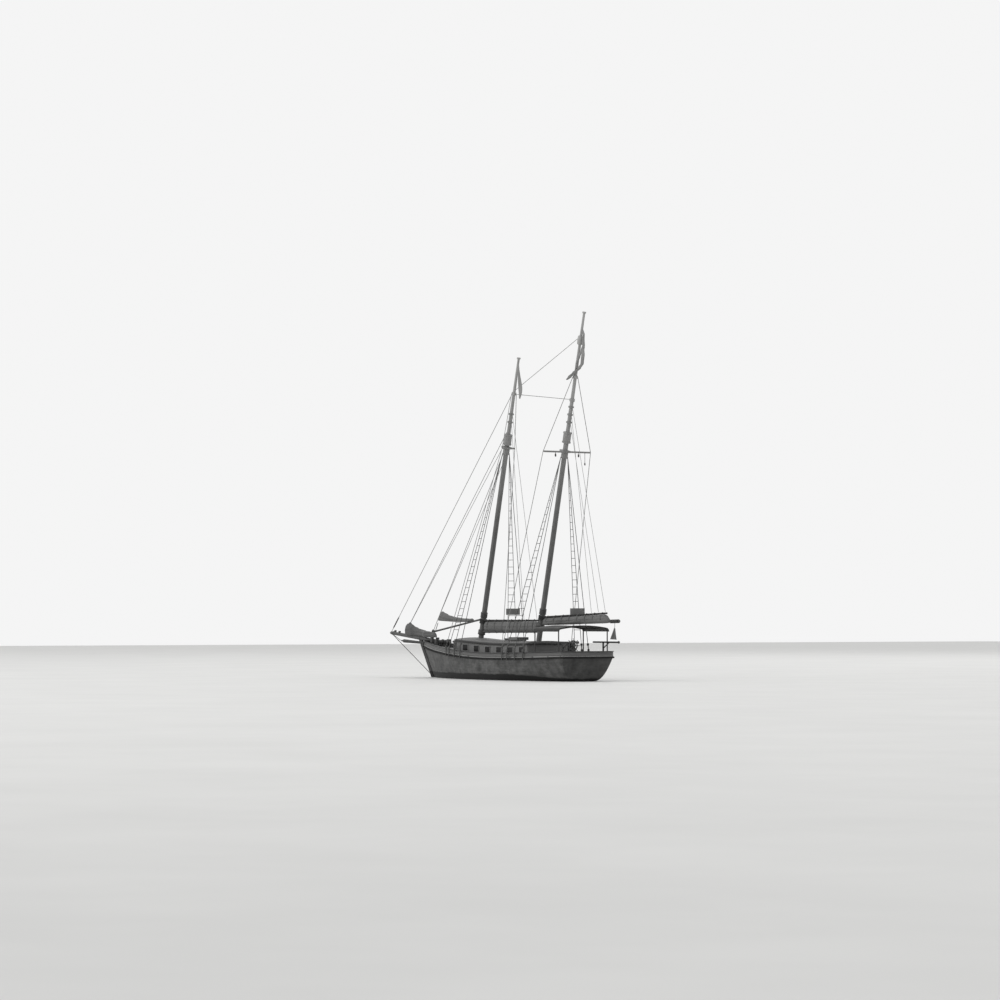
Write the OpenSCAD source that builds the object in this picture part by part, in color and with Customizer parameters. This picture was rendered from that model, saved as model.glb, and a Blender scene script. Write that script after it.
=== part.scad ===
// Waterline display model of a two-masted gaff schooner with stowed sails.
// Frame: +X to the bow, +Y to port, +Z up. The origin is amidships on the waterline.

/* [Hull] */
// Length from the transom to the front of the stem at the rail
hull_l = 470; // [440:2:500]
// Greatest breadth of the hull at the deck
beam = 117; // [110:1:124]
// Breadth of the transom at the deck
transom_w = 92; // [84:1:98]
// Breadth of the transom at the waterline
transom_wl_w = 26; // [22:1:32]
// How far the middle of the transom stands aft of its corners
transom_crown = 9; // [6:0.5:12]
// How far the top of the transom leans aft of its foot
transom_rake = 12; // [6:1:16]
// How far the stem leans forward between the waterline and the rail
stem_rake = 37; // [33:1:41]
// Thickness of the stem timber
stem_t = 3.2; // [2.4:0.2:4]
// Depth of the stem timber ahead of the planking
stem_d = 8; // [6:0.5:10]
// Deck height above the waterline where the sheer is lowest
deck_mid = 34.5; // [32:0.5:37]
// Deck height above the waterline at the stem
deck_bow = 50; // [47:0.5:53]
// Power of the sheer curve from amidships to the bow
sheer_power = 1.5; // [1.4:0.1:2]
// Deck height above the waterline at the transom
deck_stern = 37.5; // [35:0.5:40]
// Place of the lowest sheer and the greatest breadth, as a share of the length from aft
low_u = 0.42; // [0.38:0.01:0.46]
// Thickness of the hull planking
skin_t = 3; // [2.4:0.2:3.6]
// Thickness of the bottom board
base_t = 3; // [2:0.5:4]
// Thickness of the deck
deck_t = 1.6; // [1.2:0.2:2]

/* [Bulwark and rails] */
// Height of the bulwark above the deck
bulwark_h = 5.2; // [4.4:0.1:6.4]
// Thickness of the bulwark
bulwark_t = 1.6; // [1.2:0.1:2]
// Thickness of the rail cap
cap_t = 1.2; // [0.9:0.1:1.6]
// Overhang of the rail cap on each side of the bulwark
cap_over = 1.1; // [0.8:0.1:1.4]
// Height of the rubbing strake
wale_h = 2.6; // [2:0.2:3.2]
// How far the rubbing strake stands proud of the planking
wale_d = 1.8; // [1.4:0.1:2.2]

/* [Deckhouse] */
// Place of the front wall of the deckhouse
house_front = 70; // [68:1:74]
// Place of the back wall of the deckhouse
house_back = -128; // [-134:1:-124]
// Breadth of the deckhouse
house_w = 66; // [60:1:72]
// Height of the deckhouse walls above the deck
house_h = 18.5; // [17:0.5:20]
// Thickness of the deckhouse walls
house_t = 2; // [1.6:0.2:2.4]
// Thickness of the roof
roof_t = 1.8; // [1.4:0.2:2.4]
// Overhang of the roof past the walls
roof_over = 2.4; // [1.6:0.2:3.2]
// Rise of the roof camber at the middle
roof_camber = 2.6; // [2:0.2:3.4]
// Number of windows on each side
window_n = 6; // [5:1:7]
// Width of a window opening
window_w = 13; // [11:0.5:15]
// Height of a window opening
window_h = 9; // [7.5:0.5:10]
// Height of the window sills above the deck
window_sill = 4.8; // [4.4:0.2:5.6]
// Width of the window frames
window_frame = 1.1; // [0.8:0.1:1.4]

/* [Masts] */
// Rake of both masts from the vertical, in degrees
mast_rake = 14.4; // [13:0.1:15]
// Place of the foremast axis on the waterline
fore_x = 70; // [66:0.5:72]
// Place of the mainmast axis on the waterline
main_x = -93; // [-96:0.5:-90]
// Radius of the lower masts below the taper
mast_r = 4; // [3.6:0.1:4.4]
// Radius of the lower masts at the head
mast_head_r = 3.6; // [3.3:0.1:3.8]
// Height where the taper of the lower masts starts
mast_taper_z = 112; // [106:1:120]
// Height of the fore crosstrees
fore_cross_z = 345; // [335:1:355]
// Height of the fore mast cap
fore_cap_z = 366; // [361:1:371]
// Height of the stay band on the fore topmast
fore_band_z = 426; // [415:1:436]
// Height of the fore truck
fore_truck_z = 478; // [465:1:490]
// Height of the main crosstrees
main_cross_z = 333; // [323:1:343]
// Height of the main mast cap
main_cap_z = 362; // [357:1:367]
// Height of the stay band on the main topmast
main_band_z = 497; // [485:1:505]
// Height of the main truck
main_truck_z = 533; // [520:1:545]
// Radius of the topmasts at the heel
topmast_r = 3.1; // [2.8:0.1:3.2]
// Radius of the topmasts at the truck
truck_r = 1.7; // [1.4:0.1:2]
// Half length of the main crosstrees
main_cross_y = 40; // [36:1:44]
// Half length of the fore crosstrees
fore_cross_y = 10; // [8:1:12]

/* [Booms and gaffs] */
// Height of the main boom on its mast
main_boom_z = 83; // [81:0.5:84]
// Height of the main gaff on its mast
main_gaff_z = 92.5; // [91:0.5:96]
// Height of the fore boom on its mast
fore_boom_z = 71; // [70:0.5:76]
// Height of the fore gaff on its mast
fore_gaff_z = 87.5; // [86:0.5:92]
// Place of the after end of the main boom
main_boom_end = -320; // [-326:1:-300]
// Rise of the main boom at its after end
main_boom_rise = 4; // [3:0.5:5]
// Place of the after end of the main gaff
main_gaff_end = -288; // [-294:1:-270]
// Rise of the main gaff from mast to end
main_gaff_rise = 5.8; // [4.8:0.2:6.8]
// Gap between the fore boom and the mainmast
fore_boom_gap = 3.2; // [3:0.2:6]
// Radius of the booms
boom_r = 2.1; // [1.8:0.1:2.4]
// Radius of the gaffs
gaff_r = 1.6; // [1.4:0.1:1.9]
// Height of the collars that carry the booms and gaffs
collar_h = 5; // [4:0.5:6]
// Wall of the collars
collar_t = 1.4; // [1.1:0.1:1.8]
// Running clearance between a collar and its mast or stay
run_gap = 0.08; // [0.05:0.01:0.1]

/* [Bowsprit and headsails] */
// Place of the bowsprit tip
sprit_tip_x = 325; // [315:1:335]
// Place of the bowsprit heel
sprit_heel_x = 184; // [178:1:190]
// Radius of the bowsprit at the stem
sprit_r = 2.7; // [2.3:0.1:3]
// Radius of the bowsprit at the tip
sprit_tip_r = 1.8; // [1.5:0.1:2.1]
// Rise of the bowsprit for each unit of length
sprit_rise = 0.088; // [0.06:0.004:0.11]
// Place where the jib stay meets the bowsprit
jib_stay_x = 281; // [275:1:287]
// Place of the foot of the forestay on the bowsprit
forestay_x = 203; // [197:0.5:203]
// Height of the fore end of the staysail boom on the forestay
club_z = 70; // [68:0.5:74]
// Height of the after end of the staysail boom
club_end_z = 89; // [87:0.5:91]
// Gap between the staysail boom and the foremast
club_gap = 6; // [5:0.5:9]
// Radius of the staysail boom
club_r = 1.4; // [1.2:0.1:1.7]
// Reach of the whisker booms from the centreline
whisker_y = 31; // [27:1:35]

/* [Rigging] */
// Radius of the shrouds
shroud_r = 0.45; // [0.38:0.01:0.5]
// Radius of the ratlines
ratline_r = 0.36; // [0.28:0.02:0.42]
// Radius of the stays
stay_r = 0.42; // [0.36:0.02:0.5]
// Radius of the halyards and lifts
halyard_r = 0.3; // [0.26:0.02:0.36]
// Spacing of the shrouds at the rail
shroud_pitch = 20; // [18:0.5:22]
// Place of the first fore shroud from the mast at the rail
fore_shroud_dx = 3; // [-1:1:6]
// Place of the first main shroud from the mast at the rail
main_shroud_dx = -10; // [-13:1:-7]
// Number of ratlines on each ladder
ratline_n = 22; // [16:1:22]
// Spacing of the ratlines
ratline_pitch = 10.5; // [10:0.5:12]
// Height of the lowest ratline above the waterline
ratline_z = 74; // [72:1:80]
// Diameter of a deadeye
deadeye_d = 4; // [3.4:0.2:4.6]
// Distance between the two deadeyes of a pair
deadeye_gap = 8.5; // [7.5:0.5:10]
// Width of a chainplate
chainplate_w = 1.8; // [1.4:0.2:2.2]

/* [Deck fittings] */
// Radius of the steering wheel at its rim
wheel_r = 8.5; // [7.5:0.5:9]
// Number of spokes in the steering wheel
wheel_spokes = 8; // [6:1:10]
// Height of the steering wheel axis above the deck
wheel_h = 15; // [14:0.5:17]
// Place of the steering wheel
wheel_x = -200; // [-204:1:-196]
// Radius of the wheel and windlass shafts
shaft_r = 1.2; // [1:0.1:1.5]
// Place of the windlass axis
windlass_x = 166; // [160:1:170]
// Radius of the windlass barrel
windlass_r = 4.2; // [3.6:0.2:4.8]
// Length of the windlass barrel
windlass_l = 20; // [16:1:24]
// Place of the middle of the sliding hatch
hatch_x = -52; // [-56:1:-46]
// Length of the sliding hatch
hatch_l = 24; // [20:1:28]
// Width of the sliding hatch
hatch_w = 20; // [17:1:23]
// Travel of the sliding hatch
hatch_travel = 16; // [12:1:18]
// Place of the fore hatch on the foredeck
fore_hatch_x = 112; // [108:1:116]
// Length and width of the fore hatch
fore_hatch_w = 17; // [15:0.5:18]
// Height of the fore hatch coaming above the deck
fore_hatch_h = 11.5; // [9:0.5:12]

/* [Awning and stern] */
// Place of the front hoop of the awning
awning_front = -163; // [-168:1:-158]
// Place of the back hoop of the awning
awning_back = -226; // [-228:1:-220]
// Breadth of the awning frame between its legs
awning_w = 84; // [80:1:86]
// Height of the awning frame above the waterline
awning_z = 79.2; // [76:0.2:79.4]
// Radius of the awning tubes
tube_r = 0.9; // [0.7:0.1:1.1]
// Radius of the bend at the shoulders of the awning frame
awning_bend = 4; // [3:0.5:6]
// Thickness of the awning canvas
canvas_t = 0.8; // [0.6:0.1:1]
// Distance of the stern davits from the centreline
davit_y = 35; // [32:0.5:37]
// Reach of the stern davits aft of their posts
davit_l = 40; // [36:1:44]
// Length of the stern davit arms inboard of their posts
davit_in = 26; // [22:1:28]
// Height of the stern davit arms above the rail
davit_h = 13; // [11:0.5:15]

/* [Clearances] */
// Gap between pieces that seat on each other
seat = 0.05; // [0.03:0.01:0.1]
// Gap between soft pieces and what they lie on
soft_gap = 0.3; // [0.2:0.05:0.4]

/* [Hidden] */
$fn = 32;
side_steps = 34;
stern_steps = 6;
slope = tan(mast_rake);
band_w = 1.3;
band_h = 4;
sleeve_h = 16;
sleeve_t = 2.2;
spring_z = main_cap_z + 46;
top_shroud_z = main_cap_z + 79;
plate_t = 0.8;
board_l = 37;
board_h = 9.5;
board_z = 101;

// Shape of the hull
function deck_z(u) = u > low_u
  ? deck_mid + (deck_bow - deck_mid) * pow((u - low_u) / (1 - low_u), sheer_power)
  : deck_mid + (deck_stern - deck_mid) * pow((low_u - u) / low_u, 2);
function skin_top(u) = deck_z(u) - deck_t;
function rail_z(u) = deck_z(u) + bulwark_h;
function transom_x(z) = -hull_l / 2 + transom_rake * (1 - z / deck_stern);
rail_bow = deck_bow + bulwark_h + cap_t;
function stem_x(z) = hull_l / 2 - wale_d - stem_d - stem_rake * (1 - z / rail_bow);
function section_x(u, z) = transom_x(z) + u * (stem_x(z) - transom_x(z));
function share(u, p, q, tr) = u > low_u
  ? 1 - (1 - stem_t / beam) * pow((u - low_u) / (1 - low_u), p)
  : 1 - (1 - tr) * pow((low_u - u) / low_u, q);
function half_breadth(u, z) =
  let (t = min(1, z / skin_top(u)))
  let (top = share(u, 2.1, 2.2, transom_w / beam))
  let (low = share(u, 1.8, 1.7, transom_wl_w / beam))
  let (lean = 0.94 + 0.06 * pow(max(0, (u - low_u) / (1 - low_u)), 2))
  beam / 2 * (low * lean + (top - low * lean) * pow(t, 0.28 + 0.77 * u));
stations = concat(
  [for (k = [stern_steps:-1:1]) let (a = 84 * k / stern_steps) [0, sin(a), pow(cos(a), 0.5)]],
  [for (i = [0:side_steps]) [i / side_steps, 0, 1]]);
count = len(stations);
function side_line(zf) = [for (s = stations)
  let (z = zf(s[0]))
  [section_x(s[0], z) - transom_crown * s[1], half_breadth(s[0], z) * s[2], z]];
function loop(zf) =
  let (p = side_line(zf))
  concat(p, [for (k = [count - 1:-1:0]) [p[k].x, -p[k].y, p[k].z]]);
function unit2(v) = v / max(0.000001, norm(v));
function right2(v) = [v.y, -v.x];
function inset(pts, d) =
  let (n = len(pts))
  [for (i = [0:n - 1])
    let (a = pts[(i + n - 1) % n])
    let (b = pts[i])
    let (c = pts[(i + 1) % n])
    let (n1 = right2(unit2([b.x - a.x, b.y - a.y])))
    let (n2 = right2(unit2([c.x - b.x, c.y - b.y])))
    let (m = unit2(n1 + n2))
    let (q = [b.x, b.y] + m * d / max(0.4, m * n1))
    [q.x, i < n / 2 ? max(0.3, q.y) : min(-0.3, q.y), b.z]];
function lift(pts, dz) = [for (p = pts) [p.x, p.y, p.z + dz]];
// Points set at a height above the underside of the deck
under_line = [for (i = [0:side_steps])
  let (u = i / side_steps) [section_x(u, skin_top(u)), skin_top(u)]];
function on_under(pts, dz) = [for (p = pts) [p.x, p.y, lookup(p.x, under_line) + dz]];

// Solid ring from loops that go round its section
module ring(loops) {
  n = len(loops[0]);
  m = len(loops);
  polyhedron(
    [for (l = loops) for (p = l) p],
    [for (j = [0:m - 1]) for (i = [0:n - 1]) for (h = [0, 1])
      let (k = (j + 1) % m)
      let (e = (i + 1) % n)
      h == 0 ? [j * n + i, j * n + e, k * n + e] : [j * n + i, k * n + e, k * n + i]]);
}

// Solid skin from loops of a tube with both ends closed by fans
module tube_skin(loops) {
  n = len(loops[0]);
  m = len(loops);
  ends = [for (l = [loops[0], loops[m - 1]]) [for (c = [0:2]) [for (p = l) p[c]] * [for (p = l) 1 / n]]];
  polyhedron(
    concat([for (l = loops) for (p = l) p], ends),
    concat(
      [for (j = [0:m - 2]) for (i = [0:n - 1]) for (h = [0, 1])
        let (e = (i + 1) % n)
        h == 0 ? [j * n + i, j * n + e, (j + 1) * n + e] : [j * n + i, (j + 1) * n + e, (j + 1) * n + i]],
      [for (i = [0:n - 1]) [m * n, (i + 1) % n, i]],
      [for (i = [0:n - 1]) [m * n + 1, (m - 1) * n + i, (m - 1) * n + (i + 1) % n]]));
}

// Plate between two loops with port and starboard points in pairs
module plate(low, high) {
  n = len(low);
  polyhedron(
    concat(low, high),
    concat(
      [for (i = [0:n - 1]) for (h = [0, 1])
        let (e = (i + 1) % n)
        h == 0 ? [i, e, n + e] : [i, n + e, n + i]],
      [for (k = [0:n / 2 - 2]) for (h = [0, 1])
        h == 0 ? [n + k, n + k + 1, 2 * n - 2 - k] : [n + k, 2 * n - 2 - k, 2 * n - 1 - k]],
      [for (k = [0:n / 2 - 2]) for (h = [0, 1])
        h == 0 ? [k, n - 2 - k, k + 1] : [k, n - 1 - k, n - 2 - k]]));
}

// Straight line or spar between two points
module bar(a, b, r1, r2, sides) {
  d = b - a;
  translate(a)
    rotate([0, acos(d.z / norm(d)), atan2(d.y, d.x)])
      cylinder(h = norm(d), r1 = r1, r2 = r2, $fn = sides);
}
module cord(a, b, r) {
  bar(a, b, r, r, 6);
}
module spar(a, b, r1, r2) {
  bar(a, b, r1, r2, 32);
}

// Heights and places on the deck and rail
function deck_at(x) = lookup(x, under_line) + deck_t;
function u_of(x, z) = (x - transom_x(z)) / (stem_x(z) - transom_x(z));
function rail_u(x) = u_of(x, rail_z(u_of(x, deck_mid + bulwark_h)));
function rail_at(x) = rail_z(rail_u(x)) + cap_t;
function rail_y(x) = half_breadth(rail_u(x), 99);
function mast_at(x0, z) = [x0 - z * slope, 0, z];
function along(z) = z / cos(mast_rake);
function mast_rad(z, cap_z) = z < mast_taper_z ? mast_r
  : mast_r + (mast_head_r - mast_r) * (z - mast_taper_z) / (cap_z - mast_taper_z);
module on_mast(x0) {
  translate([x0, 0, 0]) rotate([0, -mast_rake, 0]) children();
}
ahead = [cos(mast_rake), 0, sin(mast_rake)];
function join_z(cap_z) = cap_z - sleeve_h / 2 * cos(mast_rake);
function topmast_rad(z, cap_z, truck_z) =
  topmast_r + (truck_r - topmast_r) * (z - join_z(cap_z)) / (truck_z - join_z(cap_z));
fore_top = [fore_x, fore_cap_z, fore_truck_z];
main_top = [main_x, main_cap_z, main_truck_z];
function top_rad(m, z) = topmast_rad(z, m[1], m[2]);

// Hull pieces
module hull_planking() {
  levels = [0, 0.04, 0.12, 0.26, 0.42, 0.6, 0.8];
  outer = concat(
    [for (t = levels) loop(function (u) t * (skin_top(u) - wale_h))],
    [loop(function (u) skin_top(u) - wale_h), loop(function (u) skin_top(u))]);
  color("gray")
    ring(concat(outer, [on_under(inset(outer[len(outer) - 1], skin_t), -seat), inset(outer[0], skin_t)]));
}
module bottom_board() {
  rim = inset(loop(function (u) 0), skin_t + 0.3);
  color("tan")
    linear_extrude(base_t)
      polygon([for (p = rim) [p.x, p.y]]);
}
module deck() {
  low = loop(function (u) skin_top(u));
  color("tan")
    difference() {
      plate(low, lift(low, deck_t));
      for (x = [fore_x, main_x])
        on_mast(x) cylinder(h = 80, r = mast_r + seat);
    }
}
module bulwark() {
  low = lift(loop(function (u) skin_top(u)), deck_t);
  inner = inset(low, bulwark_t);
  color("lightgray")
    ring([low, lift(low, bulwark_h), on_under(inner, deck_t + bulwark_h), on_under(inner, deck_t + 0.02)]);
}
module rail_cap() {
  line = loop(function (u) skin_top(u));
  out = inset(line, -cap_over);
  inner = inset(line, bulwark_t + cap_over);
  low = deck_t + bulwark_h + 0.02;
  high = deck_t + bulwark_h + cap_t;
  color("dimgray")
    ring([on_under(out, low), on_under(out, high), on_under(inner, high), on_under(inner, low)]);
}
module rubbing_strake() {
  low = loop(function (u) skin_top(u) - wale_h);
  high = loop(function (u) skin_top(u));
  color("black")
    ring([inset(low, -wale_d), inset(high, -wale_d), inset(high, -0.1), inset(low, -0.1)]);
}
stem_top = deck_bow + bulwark_h + cap_t + 1;
module stem_post() {
  color("dimgray")
    translate([0, stem_t / 2, 0])
      rotate([90, 0, 0])
        linear_extrude(stem_t)
          polygon([
            [stem_x(0) + wale_d + seat, 0],
            [stem_x(0) + wale_d + stem_d, 0],
            [stem_x(stem_top) + wale_d + stem_d, stem_top],
            [stem_x(stem_top) + wale_d + seat, stem_top]]);
}

// Masts and their fittings
module lower_mast(x0, cap_z) {
  on_mast(x0)
    rotate_extrude()
      polygon([[0, along(base_t + 6)], [mast_r, along(base_t + 6)], [mast_r, along(mast_taper_z)],
        [mast_rad(join_z(cap_z), cap_z), along(join_z(cap_z))], [0, along(join_z(cap_z))]]);
}
module foremast() {
  color("dimgray") lower_mast(fore_x, fore_cap_z);
}
module mainmast() {
  color("dimgray") lower_mast(main_x, main_cap_z);
}
module mast_steps() {
  color("tan")
    for (x = [fore_x, main_x])
      difference() {
        translate([x - 11, -9, base_t + seat]) cube([20, 18, 14]);
        on_mast(x)
          translate([0, 0, along(base_t + 6) - seat])
            cylinder(h = 60, r = mast_r + seat);
      }
}
module topmast(m) {
  foot = along(join_z(m[1])) + seat;
  on_mast(m[0])
    rotate_extrude()
      polygon([[0, foot], [topmast_r, foot], [truck_r, along(m[2]) - 1], [truck_r + 1.1, along(m[2]) - 1],
        [truck_r + 1.1, along(m[2]) + 1.2], [0, along(m[2]) + 1.2]]);
}
module fore_topmast() {
  color("gray") topmast(fore_top);
}
module main_topmast() {
  color("gray") topmast(main_top);
}
// Block round the mast with the crosstree bar behind it and a hounds band under it
module crosstrees(x0, cross_z, cap_z, half_y) {
  r = mast_rad(cross_z - 8, cap_z) + seat;
  on_mast(x0)
    difference() {
      union() {
        translate([-r - 2.4, -r - 2, along(cross_z)])
          cube([2 * r + 4.8, 2 * r + 4, 3]);
        translate([-r - 3, -half_y, along(cross_z) + 0.4])
          cube([2.4, 2 * half_y, 2.2]);
        translate([0, 0, along(cross_z) - 9])
          cylinder(h = 9, r = r + band_w);
      }
      translate([0, 0, along(cross_z) - 20])
        cylinder(h = 40, r = r);
    }
}
// Sleeve that joins the topmast to the lower mast
module mast_cap(m) {
  r = mast_head_r + sleeve_t;
  on_mast(m[0])
    translate([0, 0, along(m[1]) - sleeve_h])
      difference() {
        union() {
          cylinder(h = sleeve_h, r = r);
          cylinder(h = 2, r = r + 0.6);
          translate([0, 0, sleeve_h - 2]) cylinder(h = 2, r = r + 0.6);
        }
        translate([0, 0, -1])
          cylinder(h = sleeve_h / 2 + 1, r = mast_rad(m[1] - sleeve_h, m[1]) + seat);
        translate([0, 0, sleeve_h / 2 - 0.5])
          cylinder(h = sleeve_h, r = topmast_r + seat);
      }
}
module fore_crosstrees() {
  color("dimgray") crosstrees(fore_x, fore_cross_z, fore_cap_z, fore_cross_y);
}
module main_crosstrees() {
  color("dimgray") crosstrees(main_x, main_cross_z, main_cap_z, main_cross_y);
}
module mast_caps() {
  color("dimgray") {
    mast_cap(fore_top);
    mast_cap(main_top);
    stay_band(fore_top, fore_band_z);
    stay_band(main_top, main_band_z);
    stay_band(main_top, spring_z);
    stay_band(main_top, top_shroud_z);
  }
}
// Band that carries stays on a topmast
module stay_band(m, z) {
  on_mast(m[0])
    translate([0, 0, along(z) - band_h / 2])
      difference() {
        cylinder(h = band_h, r = top_rad(m, z) + band_w);
        translate([0, 0, -1]) cylinder(h = band_h + 2, r = top_rad(m, z - band_h / 2) + seat);
      }
}
function band_off(m, z) = top_rad(m, z) + band_w + stay_r + 0.15;

// Rigging
function chain_x(x0, dx, i) = mast_at(x0, rail_at(x0)).x + dx - i * shroud_pitch;
function chain_y(x) = rail_y(x) + wale_d + 0.25 + plate_t / 2;
function low_eye(x, s) = [x, s * chain_y(x), rail_at(x) + 0.4 + deadeye_d / 2];
function hounds(x0, cross_z, cap_z, s) =
  mast_at(x0, cross_z - 7) + [0, s * (mast_rad(cross_z - 8, cap_z) + band_w + shroud_r + 0.5), 0];
function unit3(v) = v / norm(v);
function high_eye(x, s, top) = low_eye(x, s) + deadeye_gap * unit3(top - low_eye(x, s));
function shroud_foot(x, s, top) =
  high_eye(x, s, top) + (deadeye_d / 2 + 0.15) * unit3(top - high_eye(x, s, top));
function at_z(a, b, z) = a + (b - a) * (z - a.z) / (b.z - a.z);
module shrouds(x0, dx, cross_z, cap_z, s) {
  top = hounds(x0, cross_z, cap_z, s);
  feet = [for (i = [0:2]) shroud_foot(chain_x(x0, dx, i), s, top)];
  for (f = feet)
    cord(f, top, shroud_r);
  for (k = [0:ratline_n - 1])
    let (z = ratline_z + k * ratline_pitch)
      cord(at_z(feet[0], top, z), at_z(feet[1], top, z), ratline_r);
}
module fore_shrouds_port() {
  color("black") shrouds(fore_x, fore_shroud_dx, fore_cross_z, fore_cap_z, 1);
}
module fore_shrouds_starboard() {
  color("black") shrouds(fore_x, fore_shroud_dx, fore_cross_z, fore_cap_z, -1);
}
module main_shrouds_port() {
  color("black") shrouds(main_x, main_shroud_dx, main_cross_z, main_cap_z, 1);
}
module main_shrouds_starboard() {
  color("black") shrouds(main_x, main_shroud_dx, main_cross_z, main_cap_z, -1);
}
function cross_tip(x0, cross_z, cap_z, half_y, s) =
  mast_at(x0, cross_z) - (mast_rad(cross_z - 8, cap_z) + seat + 1.8) * ahead + [0, s * (half_y + 1.2), 1.5];
// Every shroud as foot place, side and upper end
eyes = [for (s = [1, -1]) for (m = [
    [fore_x, fore_shroud_dx, fore_cross_z, fore_cap_z, fore_cross_y],
    [main_x, main_shroud_dx, main_cross_z, main_cap_z, main_cross_y]])
  for (i = [-0.62, 0, 1, 2])
    [chain_x(m[0], m[1], i), s, i < 0 ? cross_tip(m[0], m[2], m[3], m[4], s) : hounds(m[0], m[2], m[3], s)]];
module deadeyes() {
  color("black")
    for (e = eyes) {
      a = low_eye(e[0], e[1]);
      b = high_eye(e[0], e[1], e[2]);
      for (p = [a, b])
        translate(p) rotate([90, 0, 0]) cylinder(h = 1.4, d = deadeye_d, center = true);
      for (d = [-1, 0, 1])
        cord(a + [d * 0.9, 0, 0], b + [d * 0.9, 0, 0], 0.24);
    }
}
module chainplates() {
  color("black")
    for (e = eyes) {
      x = e[0];
      z0 = deck_at(x) - deck_t - wale_h - 1;
      translate([x - chainplate_w / 2, e[1] * chain_y(x) - plate_t / 2, z0])
        cube([chainplate_w, plate_t, rail_at(x) + 0.35 - z0]);
    }
}
// Topmast shrouds run from the stay band over the crosstree end to the rail
module topmast_shrouds() {
  color("black")
    for (s = [1, -1]) for (m = [
        [fore_x, fore_shroud_dx, fore_cross_z, fore_cap_z, fore_cross_y, fore_band_z, fore_top],
        [main_x, main_shroud_dx, main_cross_z, main_cap_z, main_cross_y, top_shroud_z, main_top]]) {
      tip = cross_tip(m[0], m[2], m[3], m[4], s);
      union() {
        cord(shroud_foot(chain_x(m[0], m[1], -0.62), s, tip), tip, shroud_r);
        cord(tip, mast_at(m[0], m[5]) + [0, s * band_off(m[6], m[5]), 0], shroud_r);
        translate(tip) sphere(r = 0.6, $fn = 16);
      }
    }
}

// Bowsprit and stays
function sprit_z(x) = stem_top + sprit_r + 0.3 + (x - hull_l / 2) * sprit_rise;
function sprit_at(x) = [x, 0, sprit_z(x)];
function sprit_rad(x) = x < hull_l / 2 ? sprit_r
  : sprit_r + (sprit_tip_r - sprit_r) * (x - hull_l / 2) / (sprit_tip_x - hull_l / 2);
module bowsprit() {
  heel = norm(sprit_at(hull_l / 2) - sprit_at(sprit_heel_x));
  tip = norm(sprit_at(sprit_tip_x) - sprit_at(sprit_heel_x));
  color("dimgray")
    translate(sprit_at(sprit_heel_x))
      rotate([0, 90 - atan(sprit_rise), 0])
        rotate_extrude()
          polygon([[0, 0], [sprit_r, 0], [sprit_r, heel], [sprit_tip_r, tip], [0, tip]]);
}
// Bitts that hold the heel of the bowsprit
bitts_x = sprit_heel_x + 6;
bitts_top = sprit_z(bitts_x) + 5;
module bow_bitts() {
  color("tan") {
    for (s = [1, -1])
      translate([bitts_x - 2, s * (sprit_r + 2.2) - 2, deck_at(bitts_x + 2) + seat])
        cube([4, 4, bitts_top - deck_at(bitts_x + 2) - seat]);
    translate([bitts_x - 1.5, -sprit_r - 6, sprit_z(bitts_x) - sprit_r - 3.6])
      cube([3, 2 * sprit_r + 12, 3]);
  }
}
whisker_x = stem_x(deck_bow) - 8;
function whisker_tip(s) = [hull_l / 2 + 4, s * whisker_y, rail_at(whisker_x) + 1];
module whisker_booms() {
  color("dimgray")
    for (s = [1, -1])
      let (heel = [whisker_x - 0.55, s * (rail_y(whisker_x) + 0.02), rail_at(whisker_x) - 2.35])
        spar(heel, whisker_tip(s), 1.6, 1.2);
}
module bowsprit_guys() {
  color("black") {
    for (s = [1, -1])
      cord(sprit_at(sprit_tip_x - 4) + [0, s * (sprit_tip_r + 0.6), 0],
        whisker_tip(s) + 0.75 * (stay_r + seat) * [1, s, 0], stay_r);
    cord(sprit_at(sprit_tip_x - 6) - [0, 0, sprit_tip_r + 0.6],
      [stem_x(5) + wale_d + stem_d + 0.5, 0, 5], stay_r + 0.14);
  }
}
fore_hound_front = mast_at(fore_x, fore_cross_z - 5)
  + (mast_rad(fore_cross_z - 8, fore_cap_z) + band_w + 0.7) * ahead;
stay_foot = sprit_at(forestay_x) + [0, 0, sprit_r + 0.4];
module forestay() {
  color("black") cord(stay_foot, fore_hound_front, stay_r);
}
jib_stay_foot = sprit_at(jib_stay_x) + [0, 0, sprit_rad(jib_stay_x) + 0.5];
jib_stay_head = mast_at(fore_x, fore_cap_z + 6) + [topmast_r + 0.6, 0, 0];
module head_stays() {
  color("black") {
    cord(jib_stay_foot, jib_stay_head, stay_r);
    cord(sprit_at(sprit_tip_x - 2.5) + [0, 0, sprit_tip_r + 0.6],
      mast_at(fore_x, fore_band_z) + band_off(fore_top, fore_band_z) * ahead, stay_r);
  }
}
module mast_stays() {
  color("black") {
    cord(mast_at(fore_x, fore_band_z) - band_off(fore_top, fore_band_z) * ahead,
      mast_at(main_x, spring_z) + band_off(main_top, spring_z) * ahead, stay_r);
    cord(mast_at(fore_x, fore_band_z + 6) - (top_rad(fore_top, fore_band_z) + stay_r + 0.15) * ahead,
      mast_at(main_x, main_band_z) + band_off(main_top, main_band_z) * ahead, stay_r);
  }
}
// Boards inside the starboard shrouds
module light_boards() {
  color("dimgray")
    for (m = [[fore_x, fore_shroud_dx, fore_cross_z, fore_cap_z],
        [main_x, main_shroud_dx, main_cross_z, main_cap_z]]) {
      top = hounds(m[0], m[2], m[3], -1);
      ends = [for (i = [0:2])
        at_z(shroud_foot(chain_x(m[0], m[1], i), -1, top), top, board_z + board_h / 2)];
      y = max([for (p = ends) p.y]) + shroud_r + 0.2;
      translate([ends[1].x - board_l / 2, y, board_z - board_h / 2])
        cube([board_l, 1.4, board_h]);
    }
}

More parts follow.
